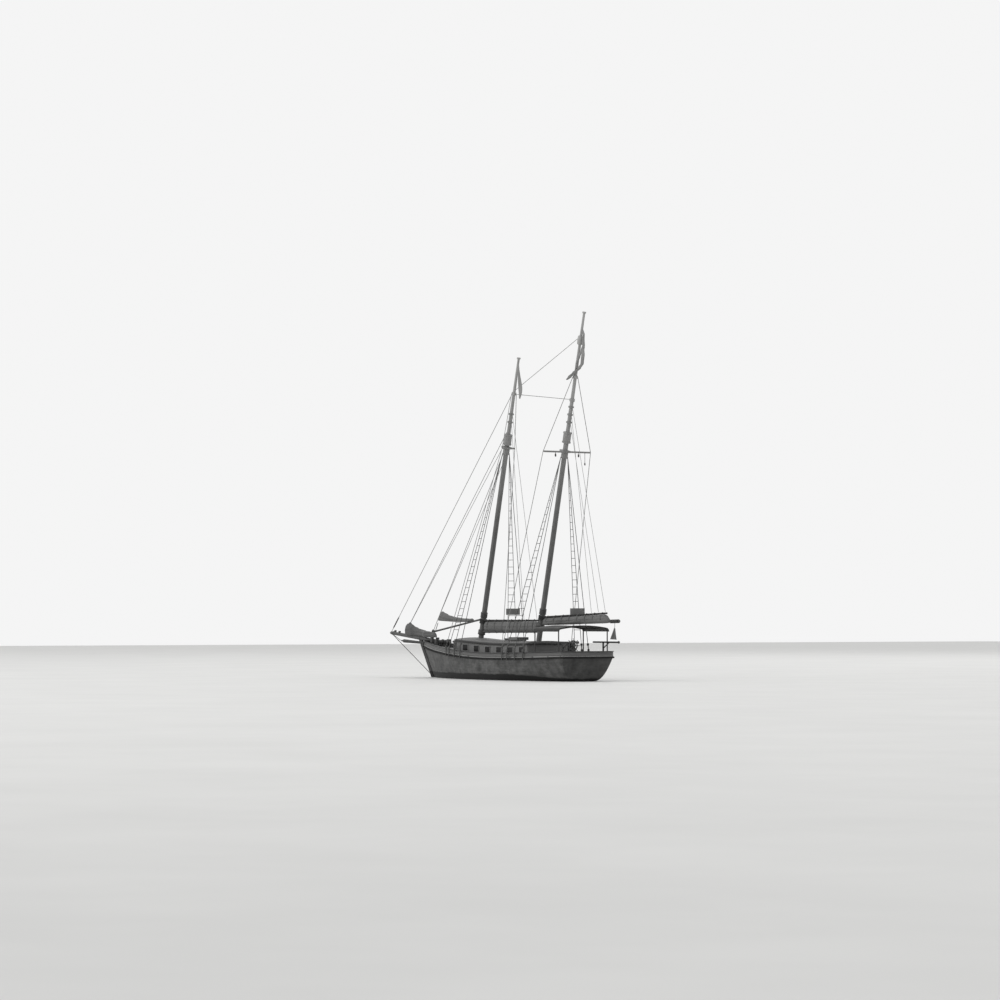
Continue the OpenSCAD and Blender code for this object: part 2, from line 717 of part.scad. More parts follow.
// Booms, gaffs and their stowed sails
module collar(x0, z) {
  on_mast(x0)
    translate([0, 0, along(z) - collar_h / 2])
      difference() {
        cylinder(h = collar_h, r = mast_r + run_gap + collar_t);
        translate([0, 0, -1]) cylinder(h = collar_h + 2, r = mast_r + run_gap);
      }
}
reach = mast_r + run_gap + collar_t / 2;
main_boom_tip = [main_boom_end, 0, main_boom_z + main_boom_rise];
main_boom_root = mast_at(main_x, main_boom_z) - [reach, 0, 0];
main_gaff_root = mast_at(main_x, main_gaff_z) - [reach, 0, 0];
main_gaff_tip = [main_gaff_end, 0, main_gaff_z + main_gaff_rise];
fore_boom_root = mast_at(fore_x, fore_boom_z) - [reach, 0, 0];
fore_boom_tip = mast_at(main_x, fore_boom_z) + [mast_r + fore_boom_gap, 0, 0.4];
fore_gaff_root = mast_at(fore_x, fore_gaff_z) - [reach, 0, 0];
fore_gaff_tip = fore_boom_tip + [-3, 0, fore_gaff_z - fore_boom_z];
module spar_on_mast(x0, z, root, tip, r) {
  difference() {
    union() {
      collar(x0, z);
      spar(root, tip, r, r * 0.8);
    }
    on_mast(x0) cylinder(h = 140, r = mast_r + run_gap);
  }
}
module main_boom() {
  color("dimgray") spar_on_mast(main_x, main_boom_z, main_boom_root, main_boom_tip, boom_r);
}
module main_gaff() {
  color("black") spar_on_mast(main_x, main_gaff_z, main_gaff_root, main_gaff_tip, gaff_r);
}
module fore_boom() {
  color("dimgray") spar_on_mast(fore_x, fore_boom_z, fore_boom_root, fore_boom_tip, boom_r);
}
module fore_gaff() {
  color("black") spar_on_mast(fore_x, fore_gaff_z, fore_gaff_root, fore_gaff_tip, gaff_r);
}
// Rings fixed under the collars so that booms and gaffs rest on the mast
module mast_saddles() {
  color("dimgray")
    for (m = [[fore_x, fore_boom_z], [fore_x, fore_gaff_z], [main_x, main_boom_z], [main_x, main_gaff_z]])
      on_mast(m[0])
        translate([0, 0, along(m[1]) - collar_h / 2 - 0.1 - 1.6])
          difference() {
            cylinder(h = 1.6, r = mast_r + 1.6);
            translate([0, 0, -1]) cylinder(h = 4, r = mast_r + seat);
          }
}
// Stowed sail between a boom and a gaff, gathered in with ties
function bundle(x1, x2, z1, z2, h1, h2, w) = [for (i = [0:22])
  let (t = i / 22)
  let (e = pow(max(0, 1 - pow(abs(2 * t - 1), 9)), 0.5))
  let (tie = 1 - 0.13 * pow(abs(cos(180 * 7 * t)), 6))
  [for (k = [0:13])
    let (a = -360 * k / 14)
    let (b = w * (0.35 + 0.65 * e) * tie * (1 + 0.1 * sin(3 * a + 900 * t)))
    let (h = (h1 + (h2 - h1) * t) * (0.4 + 0.6 * e))
    [x1 + (x2 - x1) * t, b * cos(a) * (1 + 0.18 * sin(a)), z1 + (z2 - z1) * t + h * sin(a)]]];
module stowed(boom_root, boom_tip, gaff_root, gaff_tip, x1, x2, w) {
  b1 = at_x(boom_root, boom_tip, x1).z + boom_r;
  b2 = at_x(boom_root, boom_tip, x2).z + boom_r;
  g1 = at_x(gaff_root, gaff_tip, x1).z - gaff_r;
  g2 = at_x(gaff_root, gaff_tip, x2).z - gaff_r;
  tube_skin(bundle(x1, x2, (b1 + g1) / 2, (b2 + g2) / 2,
    (g1 - b1) / 2 - soft_gap, (g2 - b2) / 2 - soft_gap, w));
}
function at_x(a, b, x) = a + (b - a) * (x - a.x) / (b.x - a.x);
module main_sail_stowed() {
  color("lightgray")
    stowed(main_boom_root, main_boom_tip, main_gaff_root, main_gaff_tip,
      main_gaff_root.x - 1.8, main_gaff_tip.x + 4, 5);
}
module fore_sail_stowed() {
  color("lightgray")
    stowed(fore_boom_root, fore_boom_tip, fore_gaff_root, fore_gaff_tip,
      fore_gaff_root.x - 1.8, fore_gaff_tip.x + 1, 4.6);
}
// Lifts that turn with the booms, each with a ring round the topmast
module lift_line(m, z, foot) {
  r = top_rad(m, z - 2) + 0.3;
  cord(mast_at(m[0], z) - (r + 0.6) * ahead, foot + [0, 0, gaff_r + 0.2], halyard_r);
  on_mast(m[0])
    translate([0, 0, along(z) - 1])
      difference() {
        cylinder(h = 2, r = r + 1.1);
        translate([0, 0, -1]) cylinder(h = 4, r = r);
      }
}
module main_halyards() {
  color("black") {
    lift_line(main_top, main_cap_z + 36, main_gaff_tip + [4, 0, 0]);
    lift_line(main_top, main_cap_z + 14, main_gaff_tip + [22, 0, 0]);
    lift_line(main_top, main_cap_z + 25, at_x(main_gaff_root, main_gaff_tip, main_gaff_end + 40));
  }
}
module fore_halyards() {
  color("black") {
    lift_line(fore_top, fore_cap_z + 30, fore_gaff_tip + [4, 0, 0]);
    lift_line(fore_top, fore_cap_z + 18, fore_gaff_tip + [40, 0, 0]);
  }
}

// Staysail boom, its sail and the jib
sail_head_z = club_z + 25;
stay_dir = unit3(fore_hound_front - stay_foot);
club_root = at_z(stay_foot, fore_hound_front, club_z);
club_tip = mast_at(fore_x, club_end_z) + [mast_r + club_gap, 0, 0];
module staysail_boom() {
  color("black")
    difference() {
      union() {
        spar(club_root, club_tip, club_r, club_r);
        spar(club_root - 3.2 * stay_dir, club_root + 3.2 * stay_dir, 2.2, 2.2);
      }
      spar(club_root - 9 * stay_dir, club_root + 9 * stay_dir, stay_r + run_gap, stay_r + run_gap);
    }
}
// Gathered sail that hangs from the stay at its front and lies on the boom at its back
stay_lean = (fore_hound_front.x - stay_foot.x) / (fore_hound_front.z - stay_foot.z);
staysail_heights = [[0, 12], [0.04, 14], [0.15, 11.5], [0.3, 8.5], [0.5, 6.6], [0.8, 5], [0.95, 4], [1, 2]];
module staysail_stowed() {
  x1 = at_z(stay_foot, fore_hound_front, sail_head_z).x - 1.4;
  x2 = club_tip.x + 18;
  color("lightgray")
    tube_skin([for (i = [0:18])
      let (t = i / 18)
      let (x = x1 + (x2 - x1) * t)
      let (on_boom = at_x(club_root, club_tip, x).z + club_r + soft_gap)
      let (rise = sail_head_z - 7 - at_x(club_root, club_tip, x1).z - club_r)
      let (low = on_boom + rise * pow(max(0, 1 - t / 0.9), 1.25))
      let (h = lookup(t, staysail_heights))
      let (w = lookup(t, [[0, 1], [0.05, 2], [0.3, 3.2], [0.7, 3], [0.95, 2], [1, 1]]))
      [for (k = [0:11])
        let (a = -360 * k / 12)
        let (z = h / 2 * sin(a))
        let (b = w * cos(a) * (1 + 0.12 * sin(2 * a + 500 * t)))
        [x + stay_lean * pow(1 - t, 3) * z, b, low + h / 2 + z]]]);
}
// Jib heaped on the bowsprit beside its stay, with its after end laid over the bitts
jib_heights = [[0, 10], [0.03, 15], [0.1, 17.5], [0.15, 18], [0.22, 14.5], [0.3, 12], [0.5, 11],
  [0.7, 9.5], [0.93, 8], [1, 3]];
jib_widths = [[0, 1.4], [0.05, 2.5], [0.17, 2.8], [0.3, 4.2], [0.6, 4], [0.7, 3.2], [0.95, 3], [1, 1.5]];
jib_middle = [[0, 3.8], [0.17, 3.8], [0.3, 0], [0.5, 0], [0.68, 7.2], [1, 7.2]];
module jib_stowed() {
  x1 = jib_stay_x - 7.4;
  x2 = windlass_x + 7;
  color("gray")
    tube_skin([for (i = [0:24])
      let (t = i / 24)
      let (low = max(sprit_z(x1 + (x2 - x1) * t) + sprit_r, bitts_top) + soft_gap)
      let (h = lookup(t, jib_heights))
      let (w = lookup(t, jib_widths))
      [for (k = [0:11])
        let (a = -360 * k / 12)
        let (b = w * cos(a) * (1 + 0.12 * sin(2 * a + 700 * t)))
        [x1 + (x2 - x1) * t, lookup(t, jib_middle) + b, low + h / 2 + h / 2 * sin(a)]]]);
}

// Deckhouse
wall_xs = concat(
  [house_back],
  [for (p = under_line) if (p.x > house_back + 0.5 && p.x < house_front - 0.5) p.x],
  [house_front]);
window_pitch = (house_front - house_back - 40) / (window_n - 1);
function window_at(i) = house_back + 15 + i * window_pitch;
function window_z(i) = deck_at(window_at(i)) + window_sill + window_h / 2;
module house_walls() {
  color("lightgray") {
    difference() {
      for (s = [1, -1])
        translate([0, s * (house_w / 2 - house_t / 2) + house_t / 2, 0])
          rotate([90, 0, 0])
            linear_extrude(house_t)
              polygon(concat(
                [for (x = wall_xs) [x, deck_at(x) + seat]],
                [for (k = [len(wall_xs) - 1:-1:0]) [wall_xs[k], deck_at(wall_xs[k]) + house_h]]));
      for (i = [0:window_n - 1])
        translate([window_at(i) - window_w / 2, -house_w, deck_at(window_at(i)) + window_sill])
          cube([window_w, 2 * house_w, window_h]);
    }
    for (x = [house_front - house_t, house_back])
      let (z0 = max(deck_at(x), deck_at(x + house_t)) + seat)
      let (z1 = min(deck_at(x), deck_at(x + house_t)) + house_h)
        translate([x, -house_w / 2 + house_t, z0])
          cube([house_t, house_w - 2 * house_t, z1 - z0]);
  }
}
module window_panes() {
  color("black")
    for (i = [0:window_n - 1]) for (s = [1, -1])
      translate([window_at(i), s * (house_w / 2 - 0.2), window_z(i)])
        cube([window_w - 2 * seat, 0.8, window_h - 2 * seat], center = true);
}
module window_frames() {
  color("gray")
    for (i = [0:window_n - 1]) for (s = [1, -1])
      translate([window_at(i), s * (house_w / 2 + 0.3 + seat), window_z(i)])
        difference() {
          cube([window_w + 2 * window_frame, 0.6, window_h + 2 * window_frame], center = true);
          cube([window_w, 3, window_h], center = true);
        }
}
roof_xs = concat([house_back - roof_over], wall_xs, [house_front + roof_over]);
function roof_low(x) = deck_at(x) + house_h + seat;
function roof_top(x, y) =
  roof_low(x) + roof_t + roof_camber * (1 - pow(2 * y / (house_w + 2 * roof_over), 2));
module house_roof() {
  w = house_w / 2 + roof_over;
  color("gray")
    difference() {
      tube_skin([for (x = roof_xs) concat(
        [for (k = [0:8]) let (y = w - 2 * w * k / 8) [x, y, roof_top(x, y)]],
        [[x, -w, roof_low(x)], [x, w, roof_low(x)]])]);
      for (x = [fore_x, main_x])
        on_mast(x) cylinder(h = 90, r = mast_r + seat);
      translate([hatch_x - hatch_l / 2 + 2 - seat, -coaming_w / 2 - seat, 0])
        cube([hatch_l - 4 + 2 * seat, coaming_w + 2 * seat, 120]);
    }
}
// Sliding hatch on its coaming and rails
coaming_w = hatch_w - 5;
hatch_z = roof_top(hatch_x, 0) + 4;
hatch_end = hatch_x + hatch_l / 2 + hatch_travel;
module hatch_coaming() {
  color("dimgray")
    difference() {
      union() {
        translate([hatch_x - hatch_l / 2 + 2, -coaming_w / 2, roof_low(hatch_x)])
          cube([hatch_l - 4, coaming_w, hatch_z - roof_low(hatch_x)]);
        for (s = [1, -1])
          translate([hatch_x - hatch_l / 2 + 1, s * (coaming_w / 2 + 0.2) - 0.9, hatch_z - 1.4])
            cube([hatch_l + hatch_travel - 2, 1.8, 1.4]);
        translate([hatch_end - 2.6, -coaming_w / 2 + 0.1, roof_top(hatch_end, 0) + 0.1])
          cube([1.6, coaming_w - 0.2, hatch_z - 0.7 - roof_top(hatch_end, 0)]);
      }
      translate([hatch_x - hatch_l / 2 + 3.6, -coaming_w / 2 + 1.6, 0])
        cube([hatch_l - 7.2, coaming_w - 3.2, 120]);
    }
}
module sliding_hatch() {
  h = hatch_w / 2;
  g = 0.3;
  r = coaming_w / 2 + 1.1;
  color("black")
    translate([hatch_x - hatch_l / 2, 0, hatch_z + 0.1])
      rotate([90, 0, 90])
        linear_extrude(hatch_l)
          polygon([[-h, 1.6], [h, 1.6], [h, -2.6], [r - 0.6, -2.6], [r - 0.6, -1.8], [r + g, -1.8],
            [r + g, 0], [-r - g, 0], [-r - g, -1.8], [-r + 0.6, -1.8], [-r + 0.6, -2.6], [-h, -2.6]]);
}

// Foredeck
fh_high = deck_at(fore_hatch_x + fore_hatch_w / 2);
fh_top = fh_high + fore_hatch_h;
module fore_hatch_coaming() {
  color("tan")
    translate([0, fore_hatch_w / 2, 0])
      rotate([90, 0, 0])
        linear_extrude(fore_hatch_w)
          polygon(concat(
            [for (k = [0:6])
              let (x = fore_hatch_x - fore_hatch_w / 2 + k * fore_hatch_w / 6)
              [x, deck_at(x) + 0.1]],
            [[fore_hatch_x + fore_hatch_w / 2, fh_top], [fore_hatch_x - fore_hatch_w / 2, fh_top]]));
  color("tan") {
    translate([lid_pin_x, fore_hatch_w / 2, lid_pin_z])
      rotate([90, 0, 0]) cylinder(h = fore_hatch_w, r = 0.8);
    translate([lid_pin_x - 0.7, -2.6, deck_at(lid_pin_x + 1.2) + 0.1])
      cube([1.9, 5.2, lid_pin_z + 0.7 - deck_at(lid_pin_x + 1.2)]);
  }
}
// Lid that turns on a pin along its front edge
lid_pin_x = fore_hatch_x + fore_hatch_w / 2 + 2.6;
lid_pin_z = fh_top + 1.6;
module fore_hatch_lid() {
  color("gray") {
    difference() {
      union() {
        translate([fore_hatch_x - fore_hatch_w / 2 - 1.2, -fore_hatch_w / 2 - 1.2, fh_top + 0.3])
          cube([fore_hatch_w + 2.4, fore_hatch_w + 2.4, 2]);
        for (s = [1, -1])
          translate([lid_pin_x, s * 5.4 + 2, lid_pin_z])
            rotate([90, 0, 0]) cylinder(h = 4, r = 1.7);
        for (s = [1, -1])
          translate([fore_hatch_x + fore_hatch_w / 2, s * 5.4 - 2, fh_top + 0.6])
            cube([2.6, 4, 1.4]);
      }
      translate([lid_pin_x, 20, lid_pin_z]) rotate([90, 0, 0]) cylinder(h = 40, r = 0.8 + run_gap);
    }
  }
}
windlass_z = deck_at(windlass_x) + 9;
module windlass_frame() {
  color("dimgray") {
    for (s = [1, -1])
      translate([windlass_x - 3, s * (windlass_l / 2 + 2) - 1.5, deck_at(windlass_x + 3) + 0.1])
        cube([6, 3, windlass_z + 4 - deck_at(windlass_x + 3)]);
    translate([windlass_x, windlass_l / 2 + 2, windlass_z])
      rotate([90, 0, 0]) cylinder(h = windlass_l + 4, r = shaft_r);
  }
}
module windlass_barrel() {
  color("gray")
    translate([windlass_x, windlass_l / 2, windlass_z])
      rotate([90, 0, 0])
        difference() {
          union() {
            cylinder(h = windlass_l, r = windlass_r - 0.9);
            for (z = [0, windlass_l / 2 - 1, windlass_l - 2])
              translate([0, 0, z]) cylinder(h = 2, r = windlass_r);
          }
          translate([0, 0, -1]) cylinder(h = windlass_l + 2, r = shaft_r + run_gap);
        }
}

// Helm
wheel_z = deck_at(wheel_x) + wheel_h;
module wheel_box() {
  color("tan") {
    translate([wheel_x + 5, -6, deck_at(wheel_x + 5) + 0.1])
      cube([13, 12, wheel_h + 4]);
    translate([wheel_x - 3, 0, wheel_z])
      rotate([0, 90, 0]) cylinder(h = 9, r = shaft_r);
    translate([wheel_x - 4.2, 0, wheel_z])
      rotate([0, 90, 0]) cylinder(h = 1.4, r = shaft_r + 0.9);
  }
}
module steering_wheel() {
  color("dimgray")
    translate([wheel_x, 0, wheel_z])
      rotate([0, 90, 0])
        difference() {
          union() {
            rotate_extrude() translate([wheel_r - 1.6, 0]) circle(r = 0.9);
            translate([0, 0, -1.6]) cylinder(h = 3.2, r = shaft_r + 1.6);
            for (k = [0:wheel_spokes - 1])
              rotate([0, 90, k * 360 / wheel_spokes])
                cylinder(h = wheel_r + 2.4, r = 0.5);
          }
          translate([0, 0, -10]) cylinder(h = 20, r = shaft_r + run_gap);
        }
}

// Awning over the helm, with a low arch between the bends of its hoops
awning_tilt = 10;
awning_arc = (awning_w / 2 - awning_bend) / sin(awning_tilt) + awning_bend;
awning_mid = awning_z - awning_arc;
awning_shoulder = awning_mid + (awning_arc - awning_bend) * cos(awning_tilt);
function arch_z(y) = awning_mid + sqrt(awning_arc * awning_arc - y * y);
module hoop(x) {
  z0 = deck_at(x) + 0.1;
  y = awning_w / 2;
  for (s = [1, -1]) {
    translate([x, s * y, z0]) cylinder(h = awning_shoulder - z0, r = tube_r);
    translate([x, s * (y - awning_bend), awning_shoulder])
      rotate([90, 0, s > 0 ? 90 : -90])
        rotate_extrude(angle = 90 - awning_tilt) translate([awning_bend, 0]) circle(r = tube_r);
  }
  translate([x, 0, awning_mid])
    rotate([90, 0, 90])
      rotate([0, 0, 90 - awning_tilt])
        rotate_extrude(angle = 2 * awning_tilt, $fn = 720) translate([awning_arc, 0]) circle(r = tube_r);
}
module awning_frame() {
  y = awning_w / 2 - awning_bend - 3;
  color("black") {
    hoop(awning_front);
    hoop(awning_back);
    for (s = [1, -1])
      translate([awning_back, s * y, arch_z(y)])
        rotate([0, 90, 0]) cylinder(h = awning_front - awning_back, r = tube_r * 0.8);
  }
}
function awning_edge(out) =
  let (c = awning_w / 2 - awning_bend)
  let (b = awning_bend + out)
  let (side = [for (a = [0:16:90 - awning_tilt]) [c + b * cos(a), awning_shoulder + b * sin(a)]])
  concat(
    side,
    [for (a = [-awning_tilt + 2.5:2.5:awning_tilt - 2.5])
      [-(awning_arc + out) * sin(a), awning_mid + (awning_arc + out) * cos(a)]],
    [for (i = [len(side) - 1:-1:0]) [-side[i].x, side[i].y]]);
module awning_canvas() {
  inner = awning_edge(tube_r + 0.1);
  outer = awning_edge(tube_r + 0.1 + canvas_t);
  color("black")
    translate([awning_back - 3, 0, 0])
      rotate([90, 0, 90])
        linear_extrude(awning_front - awning_back + 6)
          polygon(concat(inner, [for (i = [len(outer) - 1:-1:0]) outer[i]]));
}
// Pair of davits over the transom
davit_x = -hull_l / 2 + 9;
module stern_davits() {
  color("black")
    for (s = [1, -1])
      union() {
        z = rail_at(davit_x) + davit_h;
        translate([davit_x, s * davit_y, deck_at(davit_x) + 0.1])
          cylinder(h = z - deck_at(davit_x), r = 1.3);
        translate([davit_x + davit_in, s * davit_y, z])
          rotate([0, -90, 0]) cylinder(h = davit_l + davit_in, r = 1.2);
        translate([davit_x - davit_l, s * davit_y, z]) sphere(r = 1.9);
        spar([davit_x, s * davit_y, z - 9], [davit_x - 16, s * davit_y, z], 0.8, 0.8);
      }
}

// Flags and the bundle on the main topmast
module cloth(pts, half) {
  tube_skin([for (r = pts) concat(
    [for (k = [0:8]) r[0] + r[1] * (k / 8) + [0, half + r[2] * sin(k * 90), 0]],
    [for (k = [8:-1:0]) r[0] + r[1] * (k / 8) + [0, -half + r[2] * sin(k * 90), 0]])]);
}
module fore_pennant() {
  p = mast_at(fore_x, fore_truck_z - 10) - [3.6, 0, 0];
  r = top_rad(fore_top, fore_truck_z - 10);
  y = r + 0.9;
  color("gray") {
    cord(mast_at(fore_x, fore_truck_z - 5) - [r + 0.45, 0, 0], p + [-1.4, y, 0.8], 0.3);
    cloth([for (i = [0:10])
      let (t = i / 10)
      let (chord = [-2.6 - 8 * sin(180 * pow(t, 1.6)), 0, -1])
      [p + [-0.4 - 1.6 * t, y + 0.5 * t, -50 * t], chord, 0.2 + 0.8 * sin(180 * t)]], 0.35);
  }
}
module ensign() {
  p = at_x(main_boom_root, main_boom_tip, main_boom_end + 12);
  color("gray") {
    cord(p - [0, 0, boom_r + 0.2], p - [0, 0, boom_r + 7], 0.3);
    cloth([for (i = [0:6])
      let (t = i / 6)
      [p + [1.2 + 6 * t, 0, -boom_r - 7.4 - 15 * t], [-2.4 - 8 * t, 0, -0.6], 0.2 + 1.1 * t]], 0.35);
  }
}
module topsail_stowed() {
  path = [[-3.4, 0.2, 1.2, 0], [-7, 0, 1.8, 0.12], [-10.5, 0, 2.2, 0.39], [-12.5, 0, 2.5, 0.52],
    [-14.5, 0.8, 2.7, 0.69], [-11.5, 3, 2.8, 0.78], [-4.5, 5.4, 2.6, 0.855],
    [4, 7.6, 2, 0.94], [11, 9, 0.9, 1]];
  color("gray")
    tube_skin([for (q = path)
      let (p = mast_at(main_x, main_truck_z - 24 - 72 * q[3]))
      [for (k = [0:11])
        let (a = -360 * k / 12)
        p + [q[0], q[1], 0] + q[2] * [cos(a) * (1 + 0.15 * sin(2 * a)), 0.8 * sin(a), 0]]]);
}

hull_planking();
bottom_board();
deck();
bulwark();
rail_cap();
rubbing_strake();
stem_post();
mast_steps();
house_walls();
house_roof();
window_panes();
window_frames();
hatch_coaming();
sliding_hatch();
fore_hatch_coaming();
fore_hatch_lid();
windlass_frame();
windlass_barrel();
bow_bitts();
bowsprit();
whisker_booms();
bowsprit_guys();
foremast();
fore_topmast();
mainmast();
main_topmast();
fore_crosstrees();
main_crosstrees();
mast_caps();
mast_saddles();
fore_shrouds_port();
fore_shrouds_starboard();
main_shrouds_port();
main_shrouds_starboard();
topmast_shrouds();
deadeyes();
chainplates();
forestay();
head_stays();
mast_stays();
light_boards();
jib_stowed();
topsail_stowed();
fore_pennant();
wheel_box();
steering_wheel();
awning_frame();
awning_canvas();
stern_davits();
main_boom();
main_gaff();
main_sail_stowed();
main_halyards();
ensign();
fore_boom();
fore_gaff();
fore_sail_stowed();
fore_halyards();
staysail_boom();
staysail_stowed();
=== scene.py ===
import math
import bpy
import bmesh
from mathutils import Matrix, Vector, noise


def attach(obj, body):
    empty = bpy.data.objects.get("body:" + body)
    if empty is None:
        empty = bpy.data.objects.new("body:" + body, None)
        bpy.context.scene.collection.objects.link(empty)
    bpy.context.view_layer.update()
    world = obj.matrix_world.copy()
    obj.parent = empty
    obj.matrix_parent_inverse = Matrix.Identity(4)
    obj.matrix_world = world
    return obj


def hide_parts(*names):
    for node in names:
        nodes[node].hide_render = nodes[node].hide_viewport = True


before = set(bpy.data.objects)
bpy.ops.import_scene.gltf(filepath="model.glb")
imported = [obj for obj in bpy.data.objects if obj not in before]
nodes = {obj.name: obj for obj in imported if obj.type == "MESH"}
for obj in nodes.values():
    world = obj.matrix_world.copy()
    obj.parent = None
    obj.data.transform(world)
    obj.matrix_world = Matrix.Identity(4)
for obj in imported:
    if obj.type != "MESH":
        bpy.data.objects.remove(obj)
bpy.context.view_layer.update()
S = bpy.context.scene
S.view_settings.view_transform = "Standard"
MM = 0.001

# Camera and light

AZ = math.radians(58)
DIST, EYE_Z, VIEW_W = 5.1, 0.0915, 1.5
SENSOR_W, IMAGE_W, HORIZON_DOWN = 36, 1000, 118
cam = bpy.data.objects.new("camera", bpy.data.cameras.new("camera"))
S.collection.objects.link(cam)
cam.location = (-math.sin(AZ) * DIST, math.cos(AZ) * DIST, EYE_Z)
pitch = math.atan(HORIZON_DOWN / (IMAGE_W * DIST / VIEW_W))
look = Vector((math.sin(AZ) * math.cos(pitch), -math.cos(AZ) * math.cos(pitch), math.sin(pitch)))
cam.rotation_mode = "QUATERNION"
cam.rotation_quaternion = look.to_track_quat("-Z", "Y")
cam.data.sensor_width = SENSOR_W
cam.data.lens = SENSOR_W * DIST / VIEW_W
cam.data.clip_end = 100
S.camera = cam


def lamp(name, loc, size, power, target=(0, 0, 0.15)):
    """Adds a square lamp that points at the target."""
    d = bpy.data.lights.new(name, "AREA")
    d.energy = power
    d.size = size
    o = bpy.data.objects.new(name, d)
    o.location = loc
    o.rotation_mode = "QUATERNION"
    o.rotation_quaternion = (Vector(target) - Vector(loc)).to_track_quat("-Z", "Y")
    S.collection.objects.link(o)


lamp("key", (1.1, 3.5, 2.3), 1.2, 45)
lamp("back", (1.5, -2.6, 2.6), 1.6, 24)
lamp("fill", (-1.8, 3.2, 1.4), 1.2, 9)

world = bpy.data.worlds.new("world")
S.world = world
world.use_nodes = True
bg = world.node_tree.nodes["Background"]
bg.inputs["Color"].default_value = (0.96, 0.96, 0.96, 1)
bg.inputs["Strength"].default_value = 0.95


# Materials

# Heights between which the aloft tones take over: painted haze, a paler light laid over masts, rope and cloth
# high up.
PALE_FROM, PALE_TO = 0.2, 0.48


def grey(v):
    return (v, v, v * 0.985, 1)


class Paint:
    """A new material and the nodes that make its look, over the object's own coordinates."""

    def __init__(self, name):
        self.material = bpy.data.materials.new(name)
        self.material.use_nodes = True
        self.nodes, self.links = self.material.node_tree.nodes, self.material.node_tree.links
        self.surface = self.nodes["Principled BSDF"]
        self.at = self.add("ShaderNodeTexCoord").outputs["Object"]

    def feed(self, socket, v):
        """Joins a node's output to the socket, or sets the socket to a plain value."""
        if isinstance(v, bpy.types.NodeSocket):
            self.links.new(v, socket)
        else:
            socket.default_value = v

    def add(self, kind, **values):
        """Adds a node; a value without an input of its name is a setting of the node."""
        n = self.nodes.new(kind)
        for name, v in values.items():
            if name in n.inputs:
                self.feed(n.inputs[name], v)
            else:
                setattr(n, name, v)
        return n

    def set(self, name, v):
        """Gives an input of the surface a value or a node's output."""
        self.feed(self.surface.inputs[name], v)

    def along(self, axis):
        """Place on the object along one axis."""
        return self.add("ShaderNodeSeparateXYZ", Vector=self.at).outputs[axis]

    def stretch(self, scale):
        """Place on the object, scaled along each axis."""
        return self.add("ShaderNodeMapping", Vector=self.at, Scale=scale).outputs["Vector"]

    def spots(self, at, scale, detail, roughness=0.5):
        """Uneven spots over the place at."""
        n = self.add("ShaderNodeTexNoise", Vector=at, Scale=scale, Detail=detail, Roughness=roughness)
        return n.outputs["Fac"]

    def math(self, operation, *values):
        """Result of a sum on values or outputs."""
        n = self.add("ShaderNodeMath", operation=operation)
        for socket, v in zip(n.inputs, values):
            self.feed(socket, v)
        return n.outputs["Value"]

    def span(self, value, kind="LINEAR", **ends):
        """Moves a value between ranges; the ends are from_min, from_max, to_min and to_max."""
        ends = {k.replace("_", " ").title(): v for k, v in ends.items()}
        n = self.add("ShaderNodeMapRange", interpolation_type=kind, Value=value, **ends)
        return n.outputs["Result"]

    def tones(self, value, *stops):
        """Colours along a value; each stop has its place and its colour."""
        n = self.add("ShaderNodeValToRGB", Fac=value)
        el = n.color_ramp.elements
        while len(el) < len(stops):
            el.new(0.5)
        for e, (place, colour) in zip(el, stops):
            e.position = place
            e.color = colour
        return n.outputs["Color"]

    def mix(self, share, low, high):
        """Colour that goes from low to high with the share."""
        return self.add("ShaderNodeMix", data_type="RGBA", Factor=share, A=low, B=high).outputs["Result"]

    def relief(self, height, strength, depth):
        """Raises the surface by the height."""
        n = self.add("ShaderNodeBump", Strength=strength, Distance=depth, Height=height)
        self.set("Normal", n.outputs["Normal"])


def textured(name, dark, light, scale, detail, rough, bump=0.15, fine=900, sheen=0, aloft=None, shine=0.5):
    """Paint, wood or cloth with uneven tone along the given scale and a fine surface.

    Where aloft is given, the tones turn to its paler pair between the heights PALE_FROM and PALE_TO: painted
    haze that makes things high up paler.
    """
    p = Paint(name)
    grain = p.spots(p.stretch(scale), 1.0, detail, 0.62)
    tone = p.tones(grain, (0.3, dark), (0.7, light))
    if aloft:
        pale = p.tones(grain, (0.3, aloft[0]), (0.7, aloft[1]))
        tone = p.mix(p.span(p.along("Z"), "SMOOTHSTEP", from_min=PALE_FROM, from_max=PALE_TO), tone, pale)
    p.set("Base Color", tone)
    p.set("Roughness", p.span(grain, to_min=rough[0], to_max=rough[1]))
    p.set("Specular IOR Level", shine)
    p.set("Sheen Weight", sheen)
    p.relief(p.spots(p.at, fine, 3), bump, 0.0004)
    return p.material


